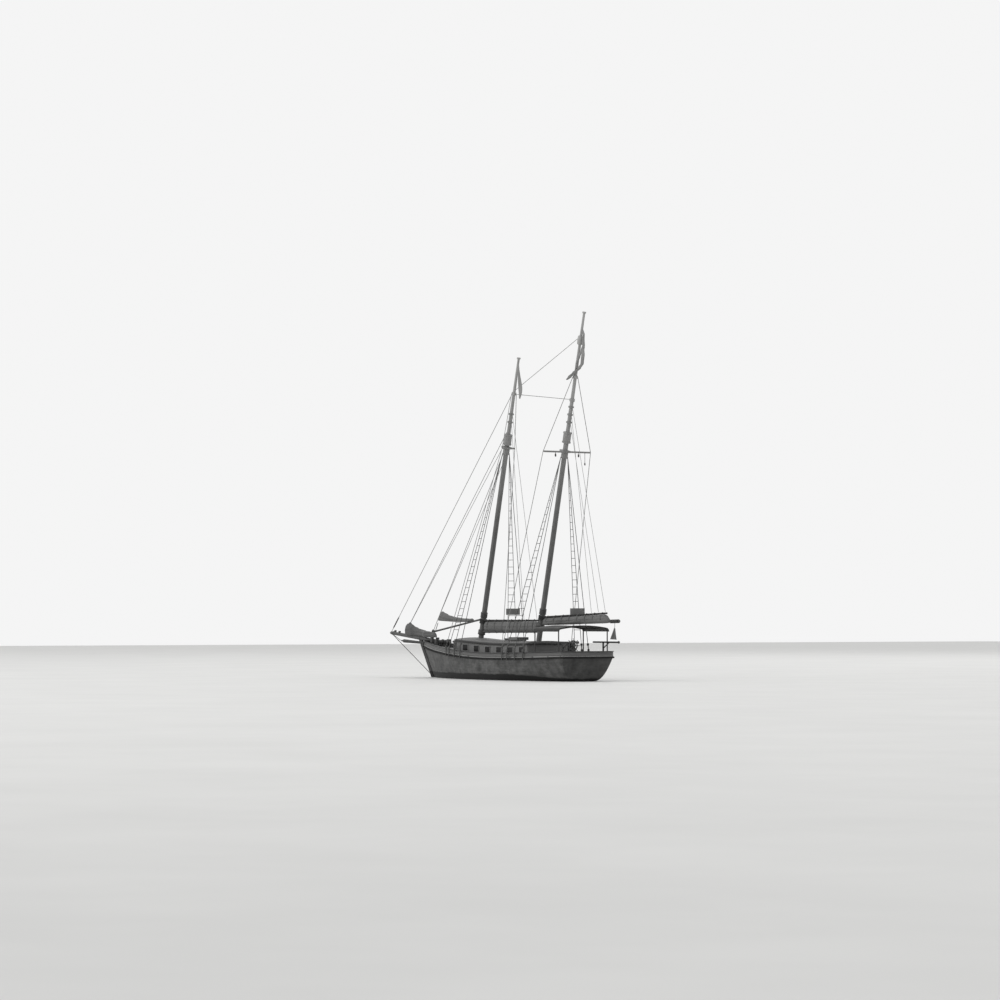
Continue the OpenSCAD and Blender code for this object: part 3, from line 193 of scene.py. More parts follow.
CLOTH = dict(scale=(26, 70, 70), detail=7, rough=(0.75, 0.92), bump=0.25, fine=2400, sheen=0.1)
ROPE = dict(scale=(700, 700, 700), detail=3, rough=(0.7, 0.9), bump=0.4, fine=2600)
PLANK_GRAIN, HALF_PLANK = (18, 260, 60), 0.0019
M = {
    "spar": textured("spar_wood", grey(0.035), grey(0.075), (40, 400, 400), 8, (0.4, 0.6)),
    "mast": textured("mast_wood", grey(0.062), grey(0.115), (400, 400, 30), 8, (0.4, 0.6),
                     aloft=(grey(0.25), grey(0.35))),
    "dark_spar": textured("dark_spar", grey(0.02), grey(0.042), (40, 400, 400), 8, (0.7, 0.9), shine=0.15),
    # Near-black, barely shiny strake colour: painted shadow, the dark line that falls under the rubbing
    # strake.
    "wale": textured("strake_painted_shadow", grey(0.012), grey(0.028), (60, 200, 200), 5, (0.8, 0.95), shine=0.1),
    "trim": textured("dark_trim", grey(0.016), grey(0.035), (60, 200, 200), 5, (0.35, 0.55)),
    "iron": textured("iron", grey(0.016), grey(0.036), (300, 300, 300), 5, (0.4, 0.6)),
    "bulwark": textured("bulwark_paint", grey(0.068), grey(0.106), (22, 22, 120), 6, (0.4, 0.6)),
    "house": textured("house_paint", grey(0.115), grey(0.16), (30, 30, 90), 6, (0.4, 0.6)),
    "roof": textured("roof_paint", grey(0.10), grey(0.15), (40, 40, 40), 6, (0.5, 0.75)),
    "hatch": textured("hatch_wood", grey(0.045), grey(0.09), (40, 200, 200), 7, (0.45, 0.65)),
    "inner": textured("inner_wood", (0.34, 0.28, 0.21, 1), (0.48, 0.4, 0.3, 1), PLANK_GRAIN, 8, (0.5, 0.75)),
    "rope": textured("rope", grey(0.04), grey(0.08), **ROPE, aloft=(grey(0.18), grey(0.27))),
    "stay": textured("stay_rope", grey(0.16), grey(0.26), **ROPE),
    "cloth": textured("sail_cloth", grey(0.078), grey(0.122), **CLOTH),
    "stay_cloth": textured("staysail_cloth", grey(0.085), grey(0.14), **CLOTH),
    "jib": textured("jib_cloth", grey(0.06), grey(0.105), **CLOTH),
    "flag": textured("flag_cloth", grey(0.06), grey(0.11), **CLOTH, aloft=(grey(0.17), grey(0.27))),
    "canvas": textured("dark_canvas", grey(0.02), grey(0.04), **CLOTH, shine=0.2),
    "lining": textured("canvas_lining", grey(0.12), grey(0.17), **CLOTH),
    "tie": textured("tie_cloth", grey(0.07), grey(0.115), **CLOTH),
    "varnish": textured("varnished_wood", grey(0.05), grey(0.11), (60, 300, 300), 8, (0.25, 0.42)),
}


def glass_material():
    """Dark window glass with a slightly uneven tone."""
    p = Paint("window_glass")
    p.set("Base Color", p.tones(p.spots(p.at, 90.0, 3), (0.35, grey(0.008)), (0.7, grey(0.022))))
    p.set("Roughness", 0.3)
    p.set("Specular IOR Level", 0.15)
    return p.material


def hull_material(name, low, mid, high):
    """Weathered paint with drips down the side and a dark band along the waterline."""
    p = Paint(name)
    blots = p.spots(p.stretch((64, 64, 100)), 1.0, 7, 0.68)
    drips = p.spots(p.stretch((120, 120, 9)), 1.0, 7, 0.68)
    stain = p.add("ShaderNodeMix", Factor=0.3, A=blots, B=drips).outputs["Result"]
    paint = p.tones(stain, (0.36, grey(low)), (0.5, grey(mid)), (0.66, grey(high)))
    height = p.math("MULTIPLY_ADD", p.spots(p.at, 70.0, 3), 0.004, p.along("Z"))
    band_top = p.span(p.along("X"), from_min=-0.245, from_max=-0.12, to_min=0.0045, to_max=0.0105)
    above = p.span(p.math("SUBTRACT", height, band_top), from_max=0.0017)
    p.set("Base Color", p.mix(above, grey(0.004), paint))
    p.set("Roughness", 0.6)
    p.set("Specular IOR Level", 0.25)
    p.relief(p.spots(p.at, 500.0, 4), 0.15, 0.0004)
    return p.material


def deck_material():
    """Planks along the deck with dark seams between them."""
    p = Paint("deck_wood")
    plank = p.span(p.math("PINGPONG", p.along("Y"), HALF_PLANK), from_max=0.0003)
    wood = p.tones(p.spots(p.stretch(PLANK_GRAIN), 1.0, 8, 0.62), (0.3, grey(0.16)), (0.7, grey(0.25)))
    p.set("Base Color", p.mix(plank, grey(0.035), wood))
    p.set("Roughness", 0.62)
    p.relief(plank, 0.5, 0.0003)
    return p.material


M["hull"] = hull_material("hull_paint", 0.035, 0.069, 0.117)
# Darker copy of the hull paint: painted shade on the transom, which faces away from the light; the stem post
# wears it as its own dark paint.
M["transom"] = hull_material("transom_shade_and_stem_paint", 0.03, 0.049, 0.073)
M["deck"] = deck_material()
M["glass"] = glass_material()

# Materials of the CAD nodes

WEAR = {
    "hull": "hull_planking",
    "bulwark": "bulwark light_boards",
    "trim": "rail_cap",
    "wale": "rubbing_strake",
    "transom": "stem_post",
    "deck": "deck",
    "hatch": "fore_hatch_coaming fore_hatch_lid bow_bitts",
    "house": "house_walls window_frames",
    "roof": "house_roof hatch_coaming sliding_hatch",
    "glass": "window_panes",
    "mast": "foremast mainmast fore_topmast main_topmast mast_caps main_crosstrees fore_crosstrees",
    "spar": "bowsprit whisker_booms main_boom fore_boom staysail_boom",
    "dark_spar": "main_gaff fore_gaff",
    "rope": "fore_shrouds_port fore_shrouds_starboard main_shrouds_port main_shrouds_starboard"
            " bowsprit_guys deadeyes",
    "stay": "topmast_shrouds forestay head_stays mast_stays main_halyards fore_halyards",
    "cloth": "main_sail_stowed fore_sail_stowed",
    "stay_cloth": "staysail_stowed",
    "jib": "jib_stowed",
    "flag": "topsail_stowed fore_pennant ensign",
    "canvas": "awning_canvas",
    "inner": "bottom_board mast_steps",
    "varnish": "wheel_box steering_wheel",
    "iron": "chainplates mast_saddles windlass_frame windlass_barrel awning_frame stern_davits",
}
for key, names in WEAR.items():
    for n in names.split():
        me = nodes[n].data
        me.materials.clear()
        me.materials.append(M[key])
        for p in me.polygons:
            p.use_smooth = True
        me.set_sharp_from_angle(angle=math.radians(32))

# Shape values repeated from the part, in millimetres

HULL_L, BEAM, TR_W, TR_WL, CROWN, TR_RAKE, ST_RAKE = 470, 117, 92, 26, 9, 12, 37
STEM_T, STEM_D, D_MID, D_BOW, D_STERN, LOW_U, SKIN_T, DECK_T = 3.2, 8, 34.5, 50, 37.5, 0.42, 3, 1.6
BUL_H, BUL_T, CAP_T, CAP_OVER, WALE_H, WALE_D = 5.2, 1.6, 1.2, 1.1, 2.6, 1.8
RAKE = math.radians(14.4)
FORE_X, MAIN_X, MAST_R = 70, -93, 4
RAIL_BOW = D_BOW + BUL_H + CAP_T


def deck_z(u):
    """Height of the deck at u, which runs from 0 at the transom to 1 at the stem."""
    if u > LOW_U:
        return D_MID + (D_BOW - D_MID) * ((u - LOW_U) / (1 - LOW_U)) ** 1.5
    return D_MID + (D_STERN - D_MID) * ((LOW_U - u) / LOW_U) ** 2


def transom_x(z):
    """Back of the hull at the height z."""
    return -HULL_L / 2 + TR_RAKE * (1 - z / D_STERN)


def stem_x(z):
    """Front of the hull's skin at the height z."""
    return HULL_L / 2 - WALE_D - STEM_D - ST_RAKE * (1 - z / RAIL_BOW)


def share(u, p, q, tr):
    """Share of the full breadth at u, with tr at the transom and the stem's thickness at the front."""
    if u > LOW_U:
        return 1 - (1 - STEM_T / BEAM) * ((u - LOW_U) / (1 - LOW_U)) ** p
    return 1 - (1 - tr) * ((LOW_U - u) / LOW_U) ** q


def half_breadth(u, z):
    """Half the breadth of the hull at u and the height z."""
    t = max(0.0, min(1, z / (deck_z(u) - DECK_T)))
    top = share(u, 2.1, 2.2, TR_W / BEAM)
    low = share(u, 1.8, 1.7, TR_WL / BEAM)
    lean = 0.94 + 0.06 * max(0, (u - LOW_U) / (1 - LOW_U)) ** 2
    return BEAM / 2 * (low * lean + (top - low * lean) * t ** (0.28 + 0.77 * u))


def section_x(u, z):
    """Place along the ship at u and the height z."""
    return transom_x(z) + u * (stem_x(z) - transom_x(z))


def stations(side, stern):
    """Steps round the crowned stern, then along the side, as a place and shares of crown and breadth."""
    angles = [math.radians(84 * k / stern) for k in range(stern, 0, -1)]
    round_stern = [(0, math.sin(a), math.cos(a) ** 0.5) for a in angles]
    return round_stern + [(i / side, 0, 1) for i in range(side + 1)]


STATIONS = stations(150, 16)


def loop(zf):
    """Line round the hull at the height zf(u)."""
    side = []
    for u, fx, fy in STATIONS:
        z = zf(u)
        side.append(Vector((section_x(u, z) - CROWN * fx, half_breadth(u, z) * fy, z)))
    return side + [Vector((v.x, -v.y, v.z)) for v in reversed(side)]


def inset(pts, d):
    """The line moved inwards by d, level, and kept off the middle of the ship."""
    n = len(pts)
    out = []
    for i, b in enumerate(pts):
        a, c = pts[i - 1], pts[(i + 1) % n]
        e1 = Vector((b.x - a.x, b.y - a.y, 0)).normalized()
        e2 = Vector((c.x - b.x, c.y - b.y, 0)).normalized()
        n1, n2 = Vector((e1.y, -e1.x, 0)), Vector((e2.y, -e2.x, 0))
        m = (n1 + n2).normalized()
        q = b + m * (d / max(0.4, m.dot(n1)))
        q.y = max(0.3, q.y) if i < n / 2 else min(-0.3, q.y)
        q.z = b.z
        out.append(q)
    return out


def mast_at(x0, z):
    """Point at the height z on the middle line of the raked mast that stands at x0."""
    return Vector((x0 - z * math.tan(RAKE), 0, z))


# Making meshes


def make(name, verts, faces, material, body, replaces=()):
    """Adds a smooth piece on a body; replaces names the CAD nodes that it stands for."""
    me = bpy.data.meshes.new(name)
    me.from_pydata([tuple(c * MM for c in v) for v in verts], [], faces)
    me.validate()
    bm = bmesh.new()
    bm.from_mesh(me)
    bmesh.ops.recalc_face_normals(bm, faces=bm.faces)
    bm.to_mesh(me)
    bm.free()
    for p in me.polygons:
        p.use_smooth = True
    o = bpy.data.objects.new(name, me)
    S.collection.objects.link(o)
    me.materials.append(material)
    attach(o, body)
    if replaces:
        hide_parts(*replaces)
    return o


def ring_faces(n, m, start=0, wrap=True):
    """Faces between m rings of n points each; wrap joins the last ring to the first."""
    out = []
    for j in range(m if wrap else m - 1):
        k = (j + 1) % m
        for i in range(n):
            e = (i + 1) % n
            out.append((start + j * n + i, start + j * n + e, start + k * n + e, start + k * n + i))
    return out


def tube(rings, verts, faces):
    """Adds a closed tube through the rings."""
    n, start = len(rings[0]), len(verts)
    for r in rings:
        verts.extend(r)
    faces.extend(ring_faces(n, len(rings), start, False))
    faces.append(tuple(start + i for i in reversed(range(n))))
    faces.append(tuple(start + (len(rings) - 1) * n + i for i in range(n)))


def closed_ring(path, section, verts, faces):
    """Adds a ring whose section(i, p) gives the points round the path at each step."""
    start = len(verts)
    rows = [section(i, p) for i, p in enumerate(path)]
    for r in rows:
        verts.extend(r)
    faces.extend(ring_faces(len(rows[0]), len(rows), start))


def turns(n):
    """Angles of n even steps round a circle."""
    return [2 * math.pi * k / n for k in range(n)]


def frame_at(d):
    """Two directions square to d and to each other."""
    d = d.normalized()
    a = Vector((0, 1, 0)) if abs(d.y) < 0.9 else Vector((1, 0, 0))
    u = d.cross(a).normalized()
    return u, d.cross(u).normalized()


def taper(points, radii, verts, faces, sides=8):
    """Adds a round bar through the points with a radius at each."""
    rings = []
    for i, (p, r) in enumerate(zip(points, radii)):
        d = points[min(i + 1, len(points) - 1)] - points[max(i - 1, 0)]
        u, v = frame_at(d)
        rings.append([p + u * (r * math.cos(a)) + v * (r * math.sin(a)) for a in turns(sides)])
    tube(rings, verts, faces)


def rope(points, r, verts, faces):
    taper(points, [r] * len(points), verts, faces)


def bars(name, body, material, slot, *rows):
    """Adds one piece of round bars; a row has a bar's points, the radius at each and its sides."""
    verts, faces = [], []
    for points, radii, sides in rows:
        taper(points, radii, verts, faces, sides)
    make(name, verts, faces, M[material], body)


# Planking of the hull


def band(name, rings, material, replaces):
    """Piece of the ship that closes on itself through lines round the hull."""
    verts = [v for r in rings for v in r]
    return make(name, verts, ring_faces(len(rings[0]), len(rings)), material, "ship", replaces)


def lift(pts, dz):
    """The line raised by dz."""
    return [Vector((p.x, p.y, p.z + dz)) for p in pts]


def rounded(low, high, out, inn, r):
    """Section with rounded corners between a low and a high loop."""
    h = high[0].z - low[0].z
    return [inset(low, -out + r), lift(inset(low, -out), r), lift(inset(low, -out), h - r),
            inset(high, -out + r), inset(high, inn - r), lift(inset(high, inn), -r),
            lift(inset(low, inn), r), inset(low, inn - r)]


EDGE = loop(lambda u: deck_z(u) - DECK_T)


def hull_skin():
    """Planked hull skin with a fine groove along each strake."""
    strakes = 9
    rings = []
    for s in range(strakes):
        for f, g in ((0, 0.12), (0.04, 0.04), (0.1, 0), (0.5, -0.03), (0.9, 0), (0.96, 0.04)):
            t = ((s + f) / strakes) ** 1.25
            rings.append(inset(loop(lambda u, t=t: t * (deck_z(u) - DECK_T)), g))
    rings.append(inset(EDGE, 0.2))
    rings.append(inset(EDGE, SKIN_T))
    rings.append(inset(loop(lambda u: 0), SKIN_T))
    o = band("hull_skin", rings, M["hull"], ("hull_planking",))
    # Faces that look aft get the darker transom material: painted shade on the transom.
    o.data.materials.append(M["transom"])
    for p in o.data.polygons:
        if p.normal.x < -0.7 and p.center.x < -0.2:
            p.material_index = 1


BUL_INSIDE = inset(EDGE, BUL_T)
BUL_TOP = DECK_T + BUL_H
GROOVE, GROOVE_HALF, GROOVE_D = DECK_T + BUL_H / 2, 0.12, 0.25
WALE_ROUND, WALE_SEAT, CAP_ROUND = 0.6, 0.05, 0.35
WALE_LOW = lift(EDGE, -WALE_H)

hull_skin()
band("bulwark_planks", [
    lift(EDGE, DECK_T), lift(EDGE, GROOVE - GROOVE_HALF), lift(inset(EDGE, GROOVE_D), GROOVE),
    lift(EDGE, GROOVE + GROOVE_HALF), lift(EDGE, BUL_TOP), lift(BUL_INSIDE, BUL_TOP),
    lift(BUL_INSIDE, DECK_T)], M["bulwark"], ("bulwark",))
band("cap_rail", rounded(
    lift(EDGE, BUL_TOP), lift(EDGE, BUL_TOP + CAP_T), CAP_OVER, BUL_T + CAP_OVER, CAP_ROUND),
    M["trim"], ("rail_cap",))
# The strake's near-black material is painted shadow under the rubbing strake.
band("strake", [
    inset(WALE_LOW, -WALE_SEAT), inset(WALE_LOW, -WALE_D + WALE_ROUND),
    inset(lift(EDGE, -WALE_H + WALE_ROUND), -WALE_D), inset(lift(EDGE, -WALE_ROUND), -WALE_D),
    inset(EDGE, -WALE_D + WALE_ROUND), inset(EDGE, -WALE_SEAT)], M["wale"], ("rubbing_strake",))


def at_x(a, b, x):
    """Point at x on the line from a to b."""
    return a + (b - a) * ((x - a.x) / (b.x - a.x))


def at_z(a, b, z):
    """Point at height z on the line from a to b."""
    return a + (b - a) * ((z - a.z) / (b.z - a.z))


def lookup(t, table):
    """Value at t, eased between the rows of a table."""
    for (t0, v0), (t1, v1) in zip(table, table[1:]):
        if t <= t1:
            f = max(0.0, (t - t0) / (t1 - t0))
            return v0 + (v1 - v0) * f * f * (3 - 2 * f)
    return table[-1][1]


# Spars that carry the sails

MAIN_BOOM_Z, MAIN_BOOM_END, MAIN_BOOM_RISE = 83, -320, 4
MAIN_GAFF_Z, MAIN_GAFF_END, MAIN_GAFF_RISE = 92.5, -288, 5.8
FORE_BOOM_Z, FORE_BOOM_GAP, FORE_GAFF_Z = 71, 3.2, 87.5
CLUB_Z, CLUB_END_Z, CLUB_GAP, STAYSAIL_HEAD_Z = 70, 89, 6, 95
BOOM_R, GAFF_R, CLUB_R, RUN_GAP, COLLAR_T = 2.1, 1.6, 1.4, 0.08, 1.4
STEM_TOP, SPRIT_R, SPRIT_RISE, FORESTAY_X, BITTS_X = RAIL_BOW + 1, 2.7, 0.088, 203, 190
MAST_TOP_R, MAST_TAPER_Z, FORE_CAP_Z, FORE_CROSS_Z, BAND_W = 3.6, 112, 366, 345, 1.3
ABAFT = Vector((-(MAST_R + RUN_GAP + COLLAR_T / 2), 0, 0))
AHEAD = Vector((math.cos(RAKE), 0, math.sin(RAKE)))
FORE_BOOM_TIP = mast_at(MAIN_X, FORE_BOOM_Z) + Vector((MAST_R + FORE_BOOM_GAP, 0, 0.4))
MAIN_BOOM = (mast_at(MAIN_X, MAIN_BOOM_Z) + ABAFT, Vector((MAIN_BOOM_END, 0, MAIN_BOOM_Z + MAIN_BOOM_RISE)))
MAIN_GAFF = (mast_at(MAIN_X, MAIN_GAFF_Z) + ABAFT, Vector((MAIN_GAFF_END, 0, MAIN_GAFF_Z + MAIN_GAFF_RISE)))
FORE_BOOM = (mast_at(FORE_X, FORE_BOOM_Z) + ABAFT, FORE_BOOM_TIP)
FORE_GAFF = (mast_at(FORE_X, FORE_GAFF_Z) + ABAFT, FORE_BOOM_TIP + Vector((-3, 0, FORE_GAFF_Z - FORE_BOOM_Z)))


def on_sprit(x, up=0):
    """Point at x on the middle line of the bowsprit, or up above it."""
    return Vector((x, 0, STEM_TOP + SPRIT_R + 0.3 + (x - HULL_L / 2) * SPRIT_RISE + up))


STAY_FOOT = on_sprit(FORESTAY_X, SPRIT_R + 0.4)
TAPER_AT_HOUND = (FORE_CROSS_Z - 8 - MAST_TAPER_Z) / (FORE_CAP_Z - MAST_TAPER_Z)
HOUND_R = MAST_R + (MAST_TOP_R - MAST_R) * TAPER_AT_HOUND + BAND_W + 0.7
HOUND = mast_at(FORE_X, FORE_CROSS_Z - 5) + HOUND_R * AHEAD
CLUB_ROOT = at_z(STAY_FOOT, HOUND, CLUB_Z)
CLUB_TIP = mast_at(FORE_X, CLUB_END_Z) + Vector((MAST_R + CLUB_GAP, 0, 0))
STAY_LEAN = (HOUND.x - STAY_FOOT.x) / (HOUND.z - STAY_FOOT.z)
JIB_FRONT, JIB_BACK = 273.6, 173
BITTS_TOP = on_sprit(BITTS_X).z + 5

# Stowed sails

TIE_HALF_W, TIE_HALF_T = 0.6, 0.25


def strap(path, verts, faces):
    """Adds a flat band along a closed path that lies across the ship."""
    along = Vector((1, 0, 0))

    def section(i, p):
        out = (path[(i + 1) % len(path)] - path[i - 1]).normalized().cross(along).normalized()
        return [p + along * (TIE_HALF_W * math.cos(a)) + out * (TIE_HALF_T * math.sin(a)) for a in turns(8)]

    closed_ring(path, section, verts, faces)


def sail_ties(name, body, boom, gaff, places, w):
    """Ties round a gaff, a boom and the sail of half width w between them, one at each place along it."""
    verts, faces = [], []
    for x in places:
        top = at_x(*gaff, x).z + GAFF_R + TIE_HALF_T
        bottom = at_x(*boom, x).z - BOOM_R - TIE_HALF_T
        path = []
        for a in turns(40):
            c, s = math.cos(a), math.sin(a)
            y = (w * 0.95 + 0.3) * c * (1 - 0.5 * abs(s) ** 6)
            path.append(Vector((x, y, (top + bottom) / 2 + (top - bottom) / 2 * s)))
        strap(path, verts, faces)
    make(name, verts, faces, M["tie"], body)


def furled(name, body, node_name, boom, gaff, x1, x2, w, ties, low, seed, slant=0):
    """Sail flaked down between a gaff and a boom, with soft folds along it and ties round it.

    w is half its width, low is how far it hangs round the boom and slant draws its after end out.
    """
    n_u, n_a = 180, 72
    rings = []
    tie_t = [(k + 0.5) / ties for k in range(ties)]
    for i in range(n_u + 1):
        t = i / n_u
        x = x1 + (x2 - x1) * t
        zb = at_x(*boom, x).z - BOOM_R * low
        zg = at_x(*gaff, x).z - GAFF_R * 0.9
        zc, h = (zb + zg) / 2, (zg - zb) / 2
        e = max(0.0, 1 - abs(2 * t - 1) ** 40) ** 0.5
        pinch = 1 - 0.1 * sum(math.exp(-((t - k) * (x2 - x1) / 3.4) ** 2) for k in tie_t)
        drift = noise.noise(Vector((x * 0.03, seed, 3.1))) * 1.4
        ring = []
        for a in turns(n_a):
            c, s = math.cos(a), math.sin(a)
            q = Vector((x * 0.05 + seed, c * 1.3, s * 1.3))
            lump = noise.noise(q) * 0.12 + noise.noise(q * 2.7 + Vector((9, 0, 0))) * 0.05
            fold = 0.05 * abs(c) * math.sin(9 * s + drift + (0 if c > 0 else 1.7))
            fold += 0.03 * abs(c) * math.sin(21 * s - 2 * drift)
            sag = 1 + 0.2 * max(0, -s)
            y = w * pinch * sag * (1 + lump + fold) * c * (0.45 + 0.55 * e)
            z = zc + h * s * (0.6 + 0.4 * e)
            out = slant * max(0, t * 12 - 11) ** 2 * (1 - s) / 2
            ring.append(Vector((x - out + 0.6 * noise.noise(q + Vector((3, 3, 3))), y, z)))
        rings.append(ring)
    verts, faces = [], []
    tube(rings, verts, faces)
    o = make(name, verts, faces, M["cloth"], body, replaces=(node_name,))
    sail_ties(name + "_ties", body, boom, gaff, [x1 + (x2 - x1) * t for t in tie_t], w)


furled("main_sail", "main_boom_set", "main_sail_stowed", MAIN_BOOM, MAIN_GAFF,
       MAIN_GAFF[0].x - 1.2, MAIN_GAFF[1].x + 1, w=4.4, ties=8, low=1.15, seed=11.0, slant=9)
furled("fore_sail", "fore_boom_set", "fore_sail_stowed", FORE_BOOM, FORE_GAFF,
       FORE_GAFF[0].x - 1.2, FORE_GAFF[1].x + 0.6, w=4.1, ties=7, low=0.2, seed=23.0)


def heap(name, body, node_name, section, seed, material, front):
    """Loose heap of sail whose front end is cut off at the given share of its size.

    section(t) gives its middle, half width, height, foot and lean along its length.
    """
    n_u, n_a = 120, 60
    rings = []
    for i in range(n_u + 1):
        t = i / n_u
        x, yc, w, h, low, lean = section(t)
        blunt = front if t < 0.5 else 0.45
        e = blunt + (1 - blunt) * max(0.0, 1 - abs(2 * t - 1) ** 24) ** 0.5
        drift = noise.noise(Vector((x * 0.05, seed, 1.1))) * 2
        ring = []
        for a in turns(n_a):
            c, s = math.cos(a), math.sin(a)
            q = Vector((x * 0.09 + seed, c * 1.2, s * 1.2))
            lump = noise.noise(q) * 0.24 + noise.noise(q * 2.6) * 0.1
            fold = 0.09 * math.sin(7 * a + drift + 0.05 * x) * (0.5 + 0.5 * abs(c))
            up = h / 2 * (1 + s * (1 + (0.35 * lump + 0.4 * fold) * (s > 0)) * e)
            ring.append(Vector((x + lean * (up - h / 2), yc + w * e * c * (1 + lump + fold), low + up)))
        rings.append(ring)
    verts, faces = [], []
    tube(rings, verts, faces)
    o = make(name, verts, faces, material, body, replaces=(node_name,))


def staysail(t):
    """Heap on the staysail boom, from the forestay towards the boom's end."""
    x1, x2 = at_z(STAY_FOOT, HOUND, STAYSAIL_HEAD_Z).x - 1.4, CLUB_TIP.x + 18
    x = x1 + (x2 - x1) * t
    rise = STAYSAIL_HEAD_Z - 7 - at_x(CLUB_ROOT, CLUB_TIP, x1).z - CLUB_R
    low = at_x(CLUB_ROOT, CLUB_TIP, x).z + CLUB_R * 0.6 + rise * max(0, 1 - t / 0.9) ** 1.25
    h = lookup(t, [(0, 14), (0.04, 14.4), (0.15, 12), (0.3, 9), (0.5, 7), (0.8, 5.4), (0.95, 4.2), (1, 2.4)])
    w = lookup(t, [(0, 1), (0.05, 2), (0.3, 3), (0.7, 2.8), (0.95, 2), (1, 1)])
    return x, 0, w, h, low, STAY_LEAN * (1 - t) ** 3


def jib(t):
    """Heap on the bowsprit, beside its stay and over the bitts."""
    x = JIB_FRONT + (JIB_BACK - JIB_FRONT) * t
    h = lookup(t, [(0, 11), (0.03, 14.6), (0.08, 17.4), (0.155, 20.6), (0.2, 17.6), (0.26, 14.2),
                   (0.34, 12.2), (0.5, 11.6), (0.7, 9.8), (0.93, 8.2), (1, 3)])
    w = lookup(t, [(0, 1.6), (0.05, 2.4), (0.17, 2.7), (0.3, 4), (0.6, 3.8), (0.7, 3), (0.95, 2.8), (1, 1.4)])
    y = lookup(t, [(0, 3.8), (0.17, 3.8), (0.3, 0), (0.5, 0), (0.68, 7.2), (1, 7.2)])
    return x, y, w, h, max(on_sprit(x, SPRIT_R * 0.8).z, BITTS_TOP), 0


heap("staysail", "staysail_boom_set", "staysail_stowed", staysail, 41.0, M["stay_cloth"], 0.9)
heap("jib", "ship", "jib_stowed", jib, 57.0, M["jib"], 0.7)

TOPSAIL_TOP, TOPSAIL_DROP = 509, 72


def bundled_topsail():
    """Two strands of cloth that hang beside the main topmast.

    Each row has a shift along and across the ship, a radius and a place down the cloth.
    """
    strands = [
        [(-3.4, 0.2, 1.2, 0), (-7, 0, 1.8, 0.12), (-10.5, 0, 2.2, 0.39), (-12.5, 0, 2.5, 0.52),
         (-14.5, 0.8, 2.7, 0.69), (-11.5, 3, 3, 0.78), (-4.5, 5.4, 3.8, 0.855), (3, 7.6, 3.8, 0.94),
         (8, 8.6, 3.6, 1)],
        [(-9.4, 0, 1.5, 0.3), (-9, 1.2, 1.7, 0.42), (-7.2, 3, 1.8, 0.55), (-5.6, 4.4, 1.9, 0.68),
         (-6.2, 4.9, 1.8, 0.79), (-4.5, 5.4, 1.2, 0.85)]]
    verts, faces = [], []
    for path in strands:
        rings = []
        for i in range(81):
            f = i / 80
            t = path[0][3] + (path[-1][3] - path[0][3]) * f
            dx, dy, r = (lookup(t, [(p[3], p[j]) for p in path]) for j in range(3))
            p = mast_at(MAIN_X, TOPSAIL_TOP - TOPSAIL_DROP * t) + Vector((dx, dy, 0))
            e = 0.25 + 0.75 * max(0.0, 1 - abs(2 * f - 1) ** 10) ** 0.5
            ring = []
            for a in turns(40):
                q = Vector((math.cos(a), math.sin(a), t * 7))
                g = r * e * (1 + 0.2 * noise.noise(q) + 0.1 * math.sin(6 * a + 5 * t))
                ring.append(p + Vector((g * math.cos(a), 0.8 * g * math.sin(a), 0)))
            rings.append(ring)
        tube(rings, verts, faces)
    o = make("topsail", verts, faces, M["flag"], "ship", replaces=("topsail_stowed",))


bundled_topsail()


# Flags and awning


def flag(name, body, node_name, rows, n_u, n_v, material, half=0.3):
    """Thin cloth from a grid of points, closed round its edges."""
    grid = [[rows(i / n_u, k / n_v) for k in range(n_v + 1)] for i in range(n_u + 1)]
    verts = []
    for side in (1, -1):
        for i in range(n_u + 1):
            for k in range(n_v + 1):
                du = grid[min(i + 1, n_u)][k] - grid[max(i - 1, 0)][k]
                dv = grid[i][min(k + 1, n_v)] - grid[i][max(k - 1, 0)]
                verts.append(grid[i][k] + du.cross(dv).normalized() * half * side)
    m, n = n_v + 1, (n_u + 1) * (n_v + 1)
    faces = []
    for i in range(n_u):
        for k in range(n_v):
            q = (i * m + k, i * m + k + 1, (i + 1) * m + k + 1, (i + 1) * m + k)
            faces.append(q)
            faces.append(tuple(n + j for j in reversed(q)))
    edge = list(range(n_v)) + [i * m + n_v for i in range(n_u)]
    edge += [n_u * m + k for k in range(n_v, 0, -1)] + [i * m for i in range(n_u, 0, -1)]
    for j, a in enumerate(edge):
        b = edge[(j + 1) % len(edge)]
        faces.append((a, b, n + b, n + a))
    o = make(name, verts, faces, material, body, replaces=(node_name,))
    for i in range(n_u):
        for k in range(n_v):
            a, b, c, d = grid[i][k], grid[i][k + 1], grid[i + 1][k + 1], grid[i + 1][k]
    return o


PENNANT_TOP, ENSIGN_AT = mast_at(FORE_X, 468), at_x(*MAIN_BOOM, MAIN_BOOM_END + 12)


def pennant(t, v):
    """Cloth that hangs in a fold behind the fore topmast."""
    p = PENNANT_TOP + Vector((-5 - 3.6 * t, 2.7 + 0.5 * t, -50 * t))
    chord = -2.5 - 7.3 * math.sin(math.pi * t ** 1.6)
    return p + Vector((chord * v, 0.9 * math.sin(math.pi * t) * math.sin(v * 7 + 3 * t), -v))


def ensign(t, v):
    """Cloth that hangs under the end of the main boom and widens downwards."""
    p = ENSIGN_AT + Vector((1.2 + 9 * t, 0, -BOOM_R - 7.4 - 16 * t))
    return p + Vector(((-2.4 - 13 * t) * v, (0.2 + 0.9 * t) * math.sin(v * 8 + t), -0.6 * v))


flag("pennant", "ship", "fore_pennant", pennant, 40, 16,
     M["flag"])
flag("ensign_cloth", "main_boom_set", "ensign", ensign, 24, 18,
     M["flag"])

